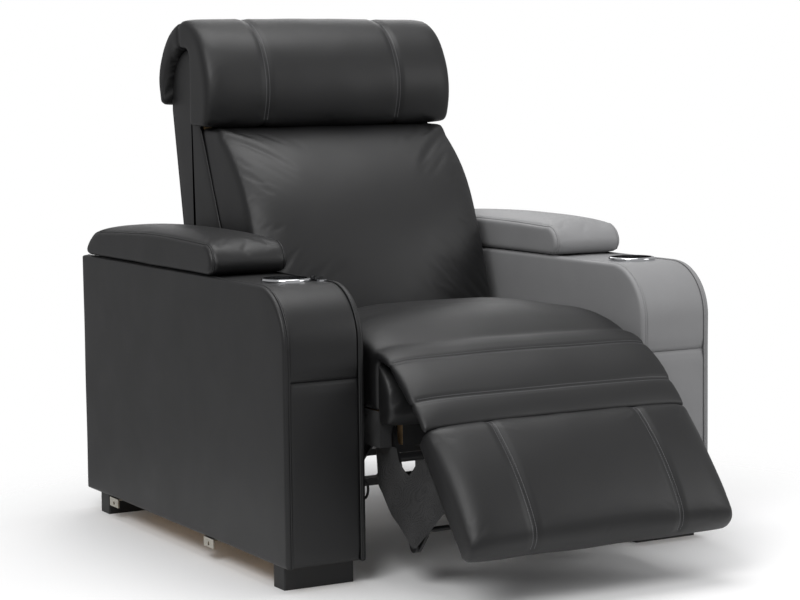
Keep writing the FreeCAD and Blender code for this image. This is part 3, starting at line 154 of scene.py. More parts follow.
def mixColours(tree, amount, low, high):
    mix = addNode(tree, "ShaderNodeMix", {"Factor": amount}, data_type="RGBA")
    for socket, value in ((mix.inputs[6], low), (mix.inputs[7], high)):
        if isinstance(value, bpy.types.NodeSocket):
            tree.links.new(value, socket)
        else:
            socket.default_value = value
    return mix.outputs[2]


def spread(tree, value, low, high):
    return addNode(tree, "ShaderNodeMapRange", {"Value": value, "To Min": low, "To Max": high}).outputs[0]


def leather(name, dark, light, shine):
    # pigment-coated split leather, pressed with a fine grain: cells about 1.4 mm across, broad softer
    # patches where sitters have rubbed it, and a thin clear coat that keeps the highlights narrow
    material, tree, spot = newMaterial(name)
    grain = addNode(tree, "ShaderNodeTexVoronoi", {"Vector": spot, "Scale": 700.0}, feature="SMOOTH_F1")
    fine = addNode(tree, "ShaderNodeTexNoise", {"Vector": spot, "Scale": 1500.0, "Detail": 3.0})
    wear = addNode(tree, "ShaderNodeTexNoise", {"Vector": spot, "Scale": 9.0, "Detail": 5.0,
                                                "Roughness": 0.6})
    colour = mixColours(tree, wear.outputs["Fac"], linearColour(dark), linearColour(light))
    pebble = addNode(tree, "ShaderNodeMath", {0: grain.outputs["Distance"], 1: fine.outputs["Fac"]},
                     operation="ADD")
    roughness = spread(tree, wear.outputs["Fac"], shine, shine + 0.16)
    finishMaterial(tree, colour, roughness, pebble.outputs[0], 0.00012,
                   Coat_Weight=0.06, Coat_Roughness=0.35)
    return material


def woven(name, dark, light, pitch):
    # flat woven cloth: two crossed sets of threads at the pitch given in mm, with slubs that vary the tone
    material, tree, spot = newMaterial(name)
    scale = 500.0 / pitch
    warp = addNode(tree, "ShaderNodeTexWave", {"Vector": spot, "Scale": scale}, bands_direction="X")
    weft = addNode(tree, "ShaderNodeTexWave", {"Vector": spot, "Scale": scale}, bands_direction="Z")
    cross = addNode(tree, "ShaderNodeMath", {0: warp.outputs["Fac"], 1: weft.outputs["Fac"]},
                    operation="MULTIPLY")
    slub = addNode(tree, "ShaderNodeTexNoise", {"Vector": spot, "Scale": 60.0, "Detail": 4.0})
    colour = mixColours(tree, slub.outputs["Fac"], linearColour(dark), linearColour(light))
    finishMaterial(tree, colour, 0.9, cross.outputs[0], 0.0003, Sheen_Weight=0.15)
    return material


def plain(name, dark, light, roughness, grainScale, depth, **principled):
    # one-colour surface with a fine texture of the size given and faint handling marks
    material, tree, spot = newMaterial(name)
    texture = addNode(tree, "ShaderNodeTexNoise", {"Vector": spot, "Scale": grainScale, "Detail": 4.0})
    marks = addNode(tree, "ShaderNodeTexNoise", {"Vector": spot, "Scale": 25.0, "Detail": 6.0})
    colour = mixColours(tree, marks.outputs["Fac"], linearColour(dark), linearColour(light))
    rough = spread(tree, marks.outputs["Fac"], max(roughness - 0.06, 0.03), roughness + 0.1)
    finishMaterial(tree, colour, rough, texture.outputs["Fac"], depth, **principled)
    return material


def plywoodBoard(name):
    # rotary-cut plywood: long soft grain figure with thin darker veins and a dry sanded face
    material, tree, spot = newMaterial(name)
    stretched = addNode(tree, "ShaderNodeMapping", {"Vector": spot, "Scale": (60.0, 6.0, 60.0)})
    grain = addNode(tree, "ShaderNodeTexNoise", {"Vector": stretched.outputs[0], "Scale": 1.0, "Detail": 8.0,
                                                  "Distortion": 0.8})
    colour = mixColours(tree, grain.outputs["Fac"], linearColour("#8a6a45"), linearColour("#cdb086"))
    finishMaterial(tree, colour, 0.72, grain.outputs["Fac"], 0.0003)
    return material


materials = {
    "black_leather": leather("splitLeatherGrainPressed", "#0a0a0b", "#121213", 0.42),
    "grey_leather": leather("fadedLeatherGrainPressed", "#828283", "#909091", 0.52),
    "black_cloth": woven("linerClothPlainWoven", "#0e0e0f", "#171718", 0.7),
    "webbing": woven("elasticWebbingWoven", "#3b342b", "#574c3e", 2.4),
    "plywood": plywoodBoard("birchPlywoodSanded"),
    "black_steel": plain("steelPowderCoated", "#0f0f10", "#19191a", 0.42, 900.0, 0.00006),
    "zinc_plate": plain("steelZincPlated", "#9c978b", "#c9c5bb", 0.3, 500.0, 0.00003, Metallic=1.0),
    "chromed_trim": plain("zincCastChromed", "#bfc0c2", "#dfe0e2", 0.09, 60.0, 0.00001, Metallic=1.0),
    "black_moulding": plain("nylonTextureMoulded", "#0e0e0f", "#161617", 0.55, 1400.0, 0.0001),
    "button_plastic": plain("absGlossMoulded", "#121213", "#1a1a1b", 0.2, 300.0, 0.00002),
    "lead_rubber": plain("cableSheathExtruded", "#141415", "#1d1d1e", 0.6, 800.0, 0.00005),
    "thread": plain("polyesterThreadTwisted", "#6c6c6e", "#858588", 0.7, 2500.0, 0.0001),
}

subparts = frame["record"].get("subparts", [])
slots = {sub["id"]: sub.get("material") or sub.get("slot") or "" for sub in subparts if "id" in sub}
for nodeName, node in frame["nodes"].items():
    for holder in node.material_slots:
        slotName = holder.material.name.split(".")[0] if holder.material else ""
        holder.material = materials.get(slotName, materials.get(slots.get(nodeName, ""), holder.material))

floorReach = 9000
floorMesh = bpy.data.meshes.new("studioFloor")
corners = [at(x * floorReach, y * floorReach, 0) for x, y in ((-1, -1), (1, -1), (1, 1), (-1, 1))]
floorMesh.from_pydata(corners, [], [(0, 1, 2, 3)])
floorPiece = bpy.data.objects.new("studioFloor", floorMesh)
scene.collection.objects.link(floorPiece)


def paperFloor(name, near, far):
    # pale matt paper that fades into the white surround between the two distances, in metres
    material, tree, spot = newMaterial(name)
    fibre = addNode(tree, "ShaderNodeTexNoise", {"Vector": spot, "Scale": 300.0, "Detail": 4.0})
    colour = mixColours(tree, fibre.outputs["Fac"], linearColour("#f6f6f6"), linearColour("#ffffff"))
    paper = addNode(tree, "ShaderNodeBsdfDiffuse", {"Color": colour})
    clear = addNode(tree, "ShaderNodeBsdfTransparent")
    reach = addNode(tree, "ShaderNodeVectorMath", {0: spot}, operation="LENGTH")
    fade = addNode(tree, "ShaderNodeMapRange", {"Value": reach.outputs["Value"], "From Min": near,
                                                "From Max": far}, interpolation_type="SMOOTHSTEP")
    both = addNode(tree, "ShaderNodeMixShader", {0: fade.outputs[0]})
    tree.links.new(paper.outputs[0], both.inputs[1])
    tree.links.new(clear.outputs[0], both.inputs[2])
    addNode(tree, "ShaderNodeOutputMaterial", {"Surface": both.outputs[0]})
    return material


floorMesh.materials.append(paperFloor("studioPaperPale", 0.6, 1.35))

world = bpy.data.worlds.new("studioWorld")
scene.world = world
world.use_nodes = True
skyTree = world.node_tree
skyTree.nodes.clear()
rays = addNode(skyTree, "ShaderNodeLightPath")
seen = addNode(skyTree, "ShaderNodeMath", {0: rays.outputs["Is Camera Ray"],
                                           1: rays.outputs["Is Transmission Ray"]}, operation="MAXIMUM")
skyColour = mixColours(skyTree, seen.outputs[0], (0.42, 0.42, 0.425, 1.0), (1.0, 1.0, 1.0, 1.0))
sky = addNode(skyTree, "ShaderNodeBackground", {"Color": skyColour, "Strength": 1.0})
addNode(skyTree, "ShaderNodeOutputWorld", {"Surface": sky.outputs["Background"]})
print("camera, light and materials made")


# drawing helpers: outlines are lists of (y, z), in mm

def linePoints(start, end, count):
    return [(start[0] + (end[0] - start[0]) * (i + 1) / count,
             start[1] + (end[1] - start[1]) * (i + 1) / count) for i in range(count)]


def arcPoints(start, through, end, count):
    ax, ay, bx, by, cx, cy = *start, *through, *end
    d = 2 * (ax * (by - cy) + bx * (cy - ay) + cx * (ay - by))
    share = [(i + 1) / count for i in range(count)]
    if abs(d) < 1e-3:
        return [(ax + (cx - ax) * t, ay + (cy - ay) * t) for t in share]
    a2, b2, c2 = ax * ax + ay * ay, bx * bx + by * by, cx * cx + cy * cy
    ox = (a2 * (by - cy) + b2 * (cy - ay) + c2 * (ay - by)) / d
    oy = (a2 * (cx - bx) + b2 * (ax - cx) + c2 * (bx - ax)) / d
    radius = math.hypot(ax - ox, ay - oy)
    first, mid, last = (math.atan2(y - oy, x - ox) for x, y in (start, through, end))
    turn = (last - first) % math.tau
    if (mid - first) % math.tau > turn:
        turn -= math.tau
    return [(ox + radius * math.cos(first + turn * t), oy + radius * math.sin(first + turn * t))
            for t in share]


def drawSection(start, moves, counts):
    # a move of one point is a straight line to it, a move of two is an arc through the first
    here, points = start, []
    for move, count in zip(moves, counts):
        if len(move) == 2:
            points += arcPoints(here, move[0], move[1], count)
        else:
            points += linePoints(here, move[0], count)
        here = move[-1]
    if math.dist(here, start) > 0.01:
        points += linePoints(here, start, counts[len(moves)])
    return points


def countsFor(start, moves, step):
    here, counts = start, []
    for move in list(moves) + [(start,)]:
        reach = sum(math.dist(a, b) for a, b in zip((here,) + tuple(move), tuple(move)))
        counts.append(max(2, round(reach / step)))
        here = move[-1]
    return counts


def outward(points):
    # unit directions that point away from a closed outline, one for each of its points
    area = sum(a[0] * b[1] - b[0] * a[1] for a, b in zip(points, points[1:] + points[:1]))
    turn = 1 if area > 0 else -1
    out = []
    for i in range(len(points)):
        a, b = points[i - 1], points[(i + 1) % len(points)]
        dy, dz = b[0] - a[0], b[1] - a[1]
        length = math.hypot(dy, dz) or 1
        out.append((dz / length * turn, -dy / length * turn))
    return out


def inset(points, amount):
    return [(p[0] - n[0] * amount, p[1] - n[1] * amount) for p, n in zip(points, outward(points))]


def fullness(x, half, shoulder):
    # how full a stuffed piece is at x: nothing at its ends, most of it reached within the shoulder
    u = min((half - abs(x)) / (shoulder * 1.6), 1)
    return 0.68 * math.sqrt(max(1 - (1 - u) ** 2, 0)) + 0.32 * (1 - (x / half) ** 2)


def makeObject(name, vertices, faces, materialName, smooth=True):
    mesh = bpy.data.meshes.new(name)
    mesh.from_pydata(vertices, [], faces)
    work = bmesh.new()
    work.from_mesh(mesh)
    bmesh.ops.recalc_face_normals(work, faces=work.faces)
    work.to_mesh(mesh)
    work.free()
    mesh.polygons.foreach_set("use_smooth", [smooth] * len(mesh.polygons))
    mesh.materials.append(materials[materialName])
    piece = bpy.data.objects.new(name, mesh)
    scene.collection.objects.link(piece)
    return piece


def ringFaces(width, count):
    # walls between rings of points that follow one another, and a cap at both ends
    faces = []
    for ring in range(count - 1):
        low, high = ring * width, (ring + 1) * width
        faces += [(low + i, low + (i + 1) % width, high + (i + 1) % width, high + i) for i in range(width)]
    return faces + [tuple(range(width)), tuple(range((count - 1) * width, count * width))]


def slabFaces(count, width):
    # the front and back of a slab drawn as rows of points, back after front, and the rim round them
    back, last = count * width, (count - 1) * width
    faces = []
    for i in range(count - 1):
        for j in range(width - 1):
            low, high = i * width + j, (i + 1) * width + j
            quad = (low, low + 1, high + 1, high)
            faces += [quad, tuple(back + v for v in reversed(quad))]
    rim = list(range(width)) + [i * width + width - 1 for i in range(1, count)]
    rim += [last + j for j in range(width - 2, -1, -1)] + [i * width for i in range(count - 2, 0, -1)]
    return faces + [(a, b, back + b, back + a) for a, b in zip(rim, rim[1:] + rim[:1])]


def loft(name, section, half, shoulder, materialName, step=9, edge=9):
    # section(fullness) gives the outline at a place across the piece; both ends are rounded by edge
    start, moves = section(1)
    counts = countsFor(start, moves, step)
    stations = [(-half + edge * (1 - math.cos(a)), edge * (1 - math.sin(a)))
                for a in [math.pi / 2 * i / 4 for i in range(5)]]
    inner = half - edge
    rows = max(8, round(inner * 2 / step))
    stations += [(-inner + inner * 2 * i / rows, 0) for i in range(1, rows)]
    stations += [(-x, amount) for x, amount in stations[4::-1]]
    rings = []
    for x, amount in stations:
        start, moves = section(fullness(x, half, shoulder))
        points = drawSection(start, moves, counts)
        rings.append([at(x, y, z) for y, z in inset(points, amount)])
    vertices = [v for ring in rings for v in ring]
    return makeObject(name, vertices, ringFaces(len(rings[0]), len(rings)), materialName)


def applyModifiers(piece):
    graph = bpy.context.evaluated_depsgraph_get()
    mesh = bpy.data.meshes.new_from_object(piece.evaluated_get(graph), depsgraph=graph)
    piece.modifiers.clear()
    old = piece.data
    piece.data = mesh
    bpy.data.meshes.remove(old)


def vertexValues(piece, kind):
    flat = np.empty(len(piece.data.vertices) * 3)
    piece.data.vertices.foreach_get(kind, flat)
    return flat.reshape(-1, 3)


def coords(piece):
    return vertexValues(piece, "co")


def normals(piece):
    return vertexValues(piece, "normal")


def setCoords(piece, points):
    piece.data.vertices.foreach_set("co", np.asarray(points, float).ravel())
    piece.data.update()


def millimetres(points):
    return points * 1000 + np.array((0, planCentre, 0))


def remesh(piece, voxel):
    modifier = piece.modifiers.new("remesh", "REMESH")
    modifier.mode, modifier.voxel_size, modifier.use_smooth_shade = "VOXEL", voxel / 1000, True
    applyModifiers(piece)
    modifier = piece.modifiers.new("relax", "SMOOTH")
    modifier.factor, modifier.iterations = 0.5, 3
    applyModifiers(piece)


stuffing = {"frames": 20, "pressure": 4.0, "quality": 5, "mass": 0.3, "stretch": 12, "bending": 0.6}


def stuff(piece, pinned, cap, voxel=6):
    # let the leather swell over its filling by at most cap; pinned(points) says how firmly each is held
    remesh(piece, voxel)
    before = coords(piece)
    weights = pinned(millimetres(before))
    group = piece.vertex_groups.new(name="held")
    for index in np.nonzero(weights > 0.01)[0]:
        group.add([int(index)], float(weights[index]), "REPLACE")
    cloth = piece.modifiers.new("cloth", "CLOTH")
    cloth.settings.use_pressure = True
    cloth.settings.uniform_pressure_force = stuffing["pressure"]
    cloth.settings.quality, cloth.settings.mass = stuffing["quality"], stuffing["mass"]
    cloth.settings.tension_stiffness = cloth.settings.compression_stiffness = stuffing["stretch"]
    cloth.settings.bending_stiffness = stuffing["bending"]
    cloth.settings.vertex_group_mass = "held"
    cloth.settings.effector_weights.gravity = 0
    cloth.point_cache.frame_end = stuffing["frames"]
    for number in range(1, stuffing["frames"] + 1):
        scene.frame_set(number)
    applyModifiers(piece)
    after = coords(piece)
    move = after - before
    reach = np.linalg.norm(move, axis=1, keepdims=True)
    limit = cap / 1000
    move *= np.where(reach > limit, limit / np.maximum(reach, 1e-9), 1)
    setCoords(piece, before + move)
    scene.frame_set(1)
    piece.vertex_groups.clear()
    modifier = piece.modifiers.new("finer", "SUBSURF")
    modifier.levels = modifier.render_levels = 1
    applyModifiers(piece)
    piece.data.polygons.foreach_set("use_smooth", [True] * len(piece.data.polygons))
    print("stuffed", piece.name, len(piece.data.vertices))


def sink(piece, seam, depth, width, where=None):
    # pull the surface in along a sewn line: seam is a point and a normal in mm
    points, out = coords(piece), normals(piece)
    mm = millimetres(points)
    distance = np.abs((mm - np.array(seam[0])) @ np.array(seam[1]))
    share = np.clip(1 - distance / width, 0, 1)
    share = share * share * (3 - 2 * share) * 0.6 + np.clip(1 - distance / 2.2, 0, 1) * 0.4
    if where is not None:
        share = share * where(mm)
    setCoords(piece, points - out * (share * depth / 1000)[:, None])


def ripple(piece, amount, size, seed=0):
    # slow uneven pull of hand-fitted leather
    points, out = coords(piece), normals(piece)
    mm = millimetres(points) / size
    shift = np.array([noise.noise(Vector(p) + Vector((seed, 0, 0))) for p in mm])
    setCoords(piece, points + out * (shift * amount / 1000)[:, None])


def treeOf(piece):
    return BVHTree.FromPolygons([v.co for v in piece.data.vertices],
                                [tuple(p.vertices) for p in piece.data.polygons])


def dropOn(tree, points, directions, reach=60):
    # where points, moved out along their directions, fall back on a surface, each with its normal
    found = []
    for point, direction in zip(points, directions):
        start = at(*point) + Vector(direction) * reach / 1000
        hit = tree.ray_cast(start, -Vector(direction), reach * 2 / 1000)
        if hit[0] is not None:
            found.append((hit[0], hit[1]))
    return found


def resampled(points, step):
    lengths = [0]
    for a, b in zip(points, points[1:]):
        lengths.append(lengths[-1] + math.dist(a, b))
    count = max(1, round(lengths[-1] / step))
    out, k = [], 0
    for i in range(count + 1):
        want = lengths[-1] * i / count
        while k < len(lengths) - 2 and lengths[k + 1] < want:
            k += 1
        span = lengths[k + 1] - lengths[k] or 1
        t = (want - lengths[k]) / span
        out.append(tuple(a + (b - a) * t for a, b in zip(points[k], points[k + 1])))
    return out


def stitches(name, runs, length=3.4, radius=0.42):
    # each run is a list of (point, normal) about one stitch apart
    vertices, faces = [], []
    for run in runs:
        for (a, na), (b, nb) in zip(run, run[1:]):
            if (b - a).length > 0.012 or (b - a).length < 0.001:
                continue
            along = (b - a).normalized()
            out = (na + nb).normalized()
            side = along.cross(out).normalized()
            middle = (a + b) / 2
            base = len(vertices)
            for share, fat in ((-1, 0.3), (-0.6, 1), (0.6, 1), (1, 0.3)):
                for k in range(6):
                    turn = math.tau * k / 6
                    lift = out * (math.sin(turn) * fat + 0.25 * fat) + side * math.cos(turn) * fat
                    vertices.append(middle + along * share * length / 2000 + lift * radius / 1000)
            for ring in range(3):
                for k in range(6):
                    low, high = base + ring * 6, base + ring * 6 + 6
                    faces.append((low + k, low + (k + 1) % 6, high + (k + 1) % 6, high + k))
            faces += [tuple(base + k for k in range(6)), tuple(base + 18 + k for k in range(6))]
    return makeObject(name, vertices, faces, "thread")


def tube(name, points, radius, materialName, sides=8):
    spots = [Vector(p) for p in points]
    vertices, up = [], None
    for i, spot in enumerate(spots):
        along = (spots[min(i + 1, len(spots) - 1)] - spots[max(i - 1, 0)]).normalized()
        if up is None:
            up = along.orthogonal()
        up = (up - along * up.dot(along)).normalized()
        side = along.cross(up)
        vertices += [spot + (up * math.cos(math.tau * k / sides) + side * math.sin(math.tau * k / sides))
                     * radius / 1000 for k in range(sides)]
    return makeObject(name, vertices, ringFaces(sides, len(spots)), materialName)


def settle(piece, body, nodes=()):
    # body is one body's name, which the piece is attached to, or the two bodies and the two places that a
    # soft piece would bend between; that tuple is not read, and such a piece is only baked in place where it
    # is drawn
    if nodes:
        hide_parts(*nodes)
    if isinstance(body, str):
        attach(piece, body)
    else:
        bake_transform(piece)
    return piece


def seamRows(name, piece, line, directions, across, body, gap=4):
    # two rows of stitches either side of a seam line lying on the piece
    tree = treeOf(piece)
    runs = []
    for side in (-1, 1):
        shifted = [Vector(point) + Vector(away) * side * gap for point, away in zip(line, across)]
        runs.append(dropOn(tree, shifted, directions))
    return settle(stitches(name, runs), body)


def sectionLine(section, x, card, shows):
    # the part of the middle section's outline that shows, moved to x, with its outward directions
    start, moves = section(fullness(0, card["half"], card["shoulder"]))
    points = drawSection(start, moves, countsFor(start, moves, 3))
    away = outward(points)
    line, directions = [], []
    for y, z in resampled([p for p in points if shows(p)], 5):
        near = min(range(len(points)), key=lambda i: (points[i][0] - y) ** 2 + (points[i][1] - z) ** 2)
        line.append((x, y, z))
        directions.append((0, *away[near]))
    return line, directions


def channel(name, piece, section, card, x, shows, body, where=None):
    # a double-stitched channel down a pad, sunk into its filling
    sink(piece, ((x, 0, 0), (1, 0, 0)), 4.5, 17, where)
    line, directions = sectionLine(section, x, card, shows)
    seamRows(name, piece, line, directions, [(1, 0, 0)] * len(line), body)


def rampHeld(distance, width):
    # 1 at the start of a distance in mm, nothing past the width
    return np.clip(1 - distance / width, 0, 1)


def sidesHeld(mm, card, width, share):
    return rampHeld(card["half"] - np.abs(mm[:, 0]), width) * share


def channelsHeld(mm, card):
    return np.maximum.reduce([rampHeld(np.abs(mm[:, 0] - x), 7) * 0.9 for x in card["seams"]])


# arms: padded side panels, the band between them, piping, seams

armCard = {
    "length": 998, "height": 567, "low": 46, "nose": 108, "corner": 14,
    "panel": 12, "round": 6, "crown": 2.5, "pipe": 2.1, "bandInset": 1.5, "bandThick": 12,
    "outerX": 485, "innerX": 315, "seamZ": 393,
    "cup": (154, 42.8), "bin": (371.7, 928.3, 56.3),
    "sides": (("right", -1, "black_leather"), ("left", 1, "grey_leather")),
}


def armPath(card, amount, fromZ=None, step=8):
    # side outline from the front's foot, up over the nose, along the top and down the rear
    low, top, rear = card["low"] + amount, card["height"] - amount, card["length"] - amount
    nose, corner = card["nose"] - amount, card["corner"] - amount * 0.5
    bow = 1 - math.sqrt(0.5)  # how far a quarter round's middle lies in from its corner, of its radius
    points = [(amount, low if fromZ is None else fromZ), (amount, top - nose)]
    points += arcPoints(points[-1], (amount + nose * bow, top - nose * bow), (amount + nose, top), 22)
    points += [(rear - corner, top)]
    points += arcPoints(points[-1], (rear - corner * bow, top - corner * bow), (rear, top - corner), 6)
    points += [(rear, low)]
    return resampled(points, step)


def armPanel(card, name, side, outerFace, materialName):
    # grid over the panel: rows follow the top line, so the nose stays round
    edges = [0, 0.6, 1.6, 3, 5, 8, 13, 20, 30, 42, 58]
    span, edgeBand, columns, levels = card["length"], edges[-1], 70, 40
    ys = edges + [edgeBand + (span - edgeBand * 2) * i / columns for i in range(1, columns)]
    ys += [span - e for e in reversed(edges)]

    def topAt(y):
        if y < card["nose"]:
            return card["height"] - card["nose"] + math.sqrt(card["nose"] ** 2 - (card["nose"] - y) ** 2)
        if y > span - card["corner"]:
            d = y - span + card["corner"]
            return card["height"] - card["corner"] + math.sqrt(max(card["corner"] ** 2 - d ** 2, 0))
        return card["height"]

    def reach(y, z):
        # distance to the outline, from the straight sides and the nose arc
        flat = min(y, span - y, z - card["low"], card["height"] - z)
        if y < card["nose"] and z > card["height"] - card["nose"]:
            flat = min(flat, card["nose"] - math.dist((y, z), (card["nose"], card["height"] - card["nose"])))
        return max(flat, 0)

    direction = side if outerFace else -side
    face = (card["outerX"] if outerFace else card["innerX"]) * side
    rows = []
    for y in ys:
        top = topAt(y)
        band = [min(e, (top - card["low"]) * 0.4) for e in edges]
        low, high = card["low"] + band[-1], top - band[-1]
        zs = [card["low"] + e for e in band] + [low + (high - low) * i / levels for i in range(1, levels)]
        zs += [top - e for e in reversed(band)]
        rows.append([(y, z) for z in zs])
    vertices = []
    for row in rows:
        for y, z in row:
            d = reach(y, z)
            r = card["round"]
            drop = r - math.sqrt(max(r * r - (r - min(d, r)) ** 2, 0))
            swell = card["crown"] * (1 - math.exp(-d / 45))
            vertices.append(at(face + direction * (swell - drop - card["crown"] * 0.5), y, z))
    behind = face - direction * card["panel"]
    vertices += [at(behind, y, z) for row in rows for y, z in row]
    piece = makeObject(name, vertices, slabFaces(len(rows), len(rows[0])), materialName)
    if outerFace:
        ripple(piece, 0.9, 150, seed=side * 3)
    return piece


def bandStrip(card, name, side, path, materialName):
    half = (card["outerX"] - card["innerX"]) / 2 - card["panel"]
    middle = (card["outerX"] + card["innerX"]) / 2 * side
    thick, r = card["bandThick"], 5
    across = [-half + step for step in (0, 1.5, 3.5, 7, 14, 26, 45)]
    across += [0] + [-x for x in reversed(across)]
    loop = []
    for i, p in enumerate(path):
        a, b = path[max(i - 1, 0)], path[min(i + 1, len(path) - 1)]
        dy, dz = b[0] - a[0], b[1] - a[1]
        length = math.hypot(dy, dz)
        loop.append((-dz / length, dy / length))
    vertices = []
    ends = (1.0, 0.55, 0.2, 0)
    for i, (p, n) in enumerate(zip(path, loop)):
        tuck = 4 * (ends[min(i, 3)] + ends[min(len(path) - 1 - i, 3)])
        for x in across:
            d = min(half - abs(x), r)
            drop = r - math.sqrt(r * r - (r - d) ** 2) + tuck - 1.2 * (1 - (x / half) ** 2)
            vertices.append(at(middle + x, p[0] - n[0] * drop, p[1] - n[1] * drop))
    for p, n in zip(path, loop):
        vertices += [at(middle + x, p[0] - n[0] * thick, p[1] - n[1] * thick) for x in across]
    return makeObject(name, vertices, slabFaces(len(path), len(across)), materialName)


def openBand(card, piece, side):
    # cut the cup's round hole and the storage bin's opening through the band
    middle = (card["outerX"] + card["innerX"]) / 2 * side
    low, high, half = card["bin"]
    cupY, cupR = card["cup"]
    tools = []
    bpy.ops.mesh.primitive_cylinder_add(vertices=64, radius=cupR / 1000, depth=0.08,
                                        location=at(middle, cupY, card["height"] - 10))
    tools.append(bpy.context.object)
    bpy.ops.mesh.primitive_cube_add(size=1, location=at(middle, (low + high) / 2, card["height"] - 10))
    bpy.context.object.scale = (half * 2 / 1000, (high - low) / 1000, 0.08)
    tools.append(bpy.context.object)
    for tool in tools:
        modifier = piece.modifiers.new("opening", "BOOLEAN")
        modifier.object, modifier.operation, modifier.solver = tool, "DIFFERENCE", "EXACT"
        applyModifiers(piece)
        bpy.data.objects.remove(tool)


for name, side, leatherName in armCard["sides"]:
    outer = armPanel(armCard, name + "ArmOuterPanel", side, True, leatherName)
    settle(outer, "base", [name + "_arm_outer_panel"])
    inner = armPanel(armCard, name + "ArmInnerPanel", side, False, leatherName)
    settle(inner, "base", [name + "_arm_inner_panel"])
    over = armPath(armCard, armCard["bandInset"], fromZ=armCard["seamZ"] + 0.4)
    band = bandStrip(armCard, name + "ArmBandOver", side, over, leatherName)
    openBand(armCard, band, side)
    settle(band, "base", [name + "_arm_band"])
    down = resampled([(armCard["bandInset"], armCard["low"] + 1),
                      (armCard["bandInset"], armCard["seamZ"] - 0.4)], 8)
    front = bandStrip(armCard, name + "ArmBandFront", side, down, leatherName)
    settle(front, "base")
    for edge, x in (("Outer", armCard["outerX"] - armCard["panel"]),
                    ("Inner", armCard["innerX"] + armCard["panel"])):
        line = [at(x * side, y, z) for y, z in armPath(armCard, 0.9, step=5)]
        pipe = tube(f"{name}ArmPiping{edge}", line, armCard["pipe"], leatherName)
        settle(pipe, "base")
print("arms made")


# lid pads over the storage bins

lidCard = {"low": 569.4, "thick": 66, "front": 307, "rear": 976, "half": 85.4, "shoulder": 16, "cap": 9,
           "middleX": 400, "pipeX": 76.4}


def lidSection(f):
    low, thick = lidCard["low"], lidCard["thick"]
    draw = 5 * (1 - f)
    top, nose, heel = low + thick + 4 * f - draw, lidCard["front"] + draw, lidCard["rear"] - draw
    middle = (lidCard["front"] + lidCard["rear"]) / 2 - 40
    return (nose + 22, low), [
        ((nose + 6, low + 0.12 * thick), (nose, low + 0.36 * thick)),
        ((nose + 0.2 * thick, low + 0.78 * thick), (nose + 0.75 * thick, top - 3)),
        ((middle, top + 2), (heel - 1.35 * thick, top - 10)),
        ((heel - 0.35 * thick, top - 0.42 * thick), (heel, low + 0.22 * thick)),
        ((heel - 3, low + 0.06 * thick), (heel - 12, low))]


def lidHeld(mm):
    return np.maximum(rampHeld(mm[:, 2] - lidCard["low"], 8), sidesHeld(mm, lidCard, 6, 0.85))


master = loft("lidMaster", lidSection, lidCard["half"] - 1, lidCard["shoulder"], "black_leather", 8, 7)
stuff(master, lidHeld, lidCard["cap"], 6)
ripple(master, 1.0, 110, 5)
for edgeX in (-1, 1):
    sink(master, ((edgeX * lidCard["pipeX"], 0, 0), (1, 0, 0)), 2.2, 7,
         lambda mm: np.clip((mm[:, 2] - lidCard["low"] - 4) / 6, 0, 1))
for name, side, leatherName in armCard["sides"]:
    lid = master.copy()
    lid.data = master.data.copy()
    lid.name = name + "LidPad"
    lid.data.name = lid.name
    scene.collection.objects.link(lid)
    lid.data.materials.clear()
    lid.data.materials.append(materials[leatherName])
    lid.data.transform(Matrix.Translation((0.4 * side, 0, 0)))
    tree = treeOf(lid)
    for tag, edgeX in (("Outer", 1), ("Inner", -1)):
        x = lidCard["middleX"] * side + edgeX * side * lidCard["pipeX"]
        line, directions = sectionLine(lidSection, x, lidCard, lambda p: p[1] > lidCard["low"] + 3)
        hits = dropOn(tree, line, directions, 40)
        if len(hits) > 10:
            pipe = tube(f"{name}LidPiping{tag}", [p + n * 0.0004 for p, n in hits], 1.7, leatherName)
            settle(pipe, name + "_lid")
    settle(lid, name + "_lid", [name + "_lid_pad", name + "_lid_board"])
bpy.data.objects.remove(master)
print("lid pads made")


# seat cushion and chaise flap, one run of leather that on the real seat bends as the footrest lifts; here it
# is drawn and left in the rest pose

seatCard = {"half": 292, "low": 328, "front": -1, "shoulder": 40, "cap": 13}


def seatSection(f):
    low, front, rise, draw = seatCard["low"], seatCard["front"], 26 * f, 9 * (1 - f)
    return (front, low), [
        ((front, 435 + 0.45 * rise - draw),),
        ((70, 457 + 0.85 * rise - draw), (180, 459 + rise - draw)),
        ((330, 452 + rise - draw), (428, 434 + 0.7 * rise - draw)),
        ((450 - draw, 426 + 0.4 * rise - draw), (456 - draw, 400)),
        ((456 - draw, low),)]


def flapSection(f):
    rise, draw = 13 * f, 4 * (1 - f)
    return (12, 439 + 0.9 * rise - draw), [
        ((-25, 434 + rise - draw), (-55, 419 + rise - draw)),
        ((-101, 392 + rise - draw), (-140, 355 + rise - draw)),
        ((-163, 337 + 0.8 * rise - draw), (-181, 317 - draw + 0.3 * rise)),
        ((-170, 309 - draw),),
        ((-150, 330 - draw + 0.5 * rise), (-133, 342 + rise - draw)),
        ((-95, 370 + rise - draw), (-52, 406 + rise - draw)),
        ((-27, 417 + rise - draw), (12, 422 + 0.9 * rise - draw))]


def joined(name, parts):
    work = bmesh.new()
    for part in parts:
        work.from_mesh(part.data)
    mesh = bpy.data.meshes.new(name)
    work.to_mesh(mesh)
    work.free()
    mesh.materials.append(parts[0].data.materials[0])
    for part in parts:
        bpy.data.objects.remove(part)
    piece = bpy.data.objects.new(name, mesh)
    scene.collection.objects.link(piece)
    return piece


# the flap's two cross seams, each a point and a normal of its plane
chaiseSeams = {"Upper": ((0, -55, 430), (0, 0.86, 0.51)), "Lower": ((0, -140, 366), (0, 0.74, 0.67))}
chaiseBend = ("base", "footrest", at(0, 2, 430), at(0, -160, 335))


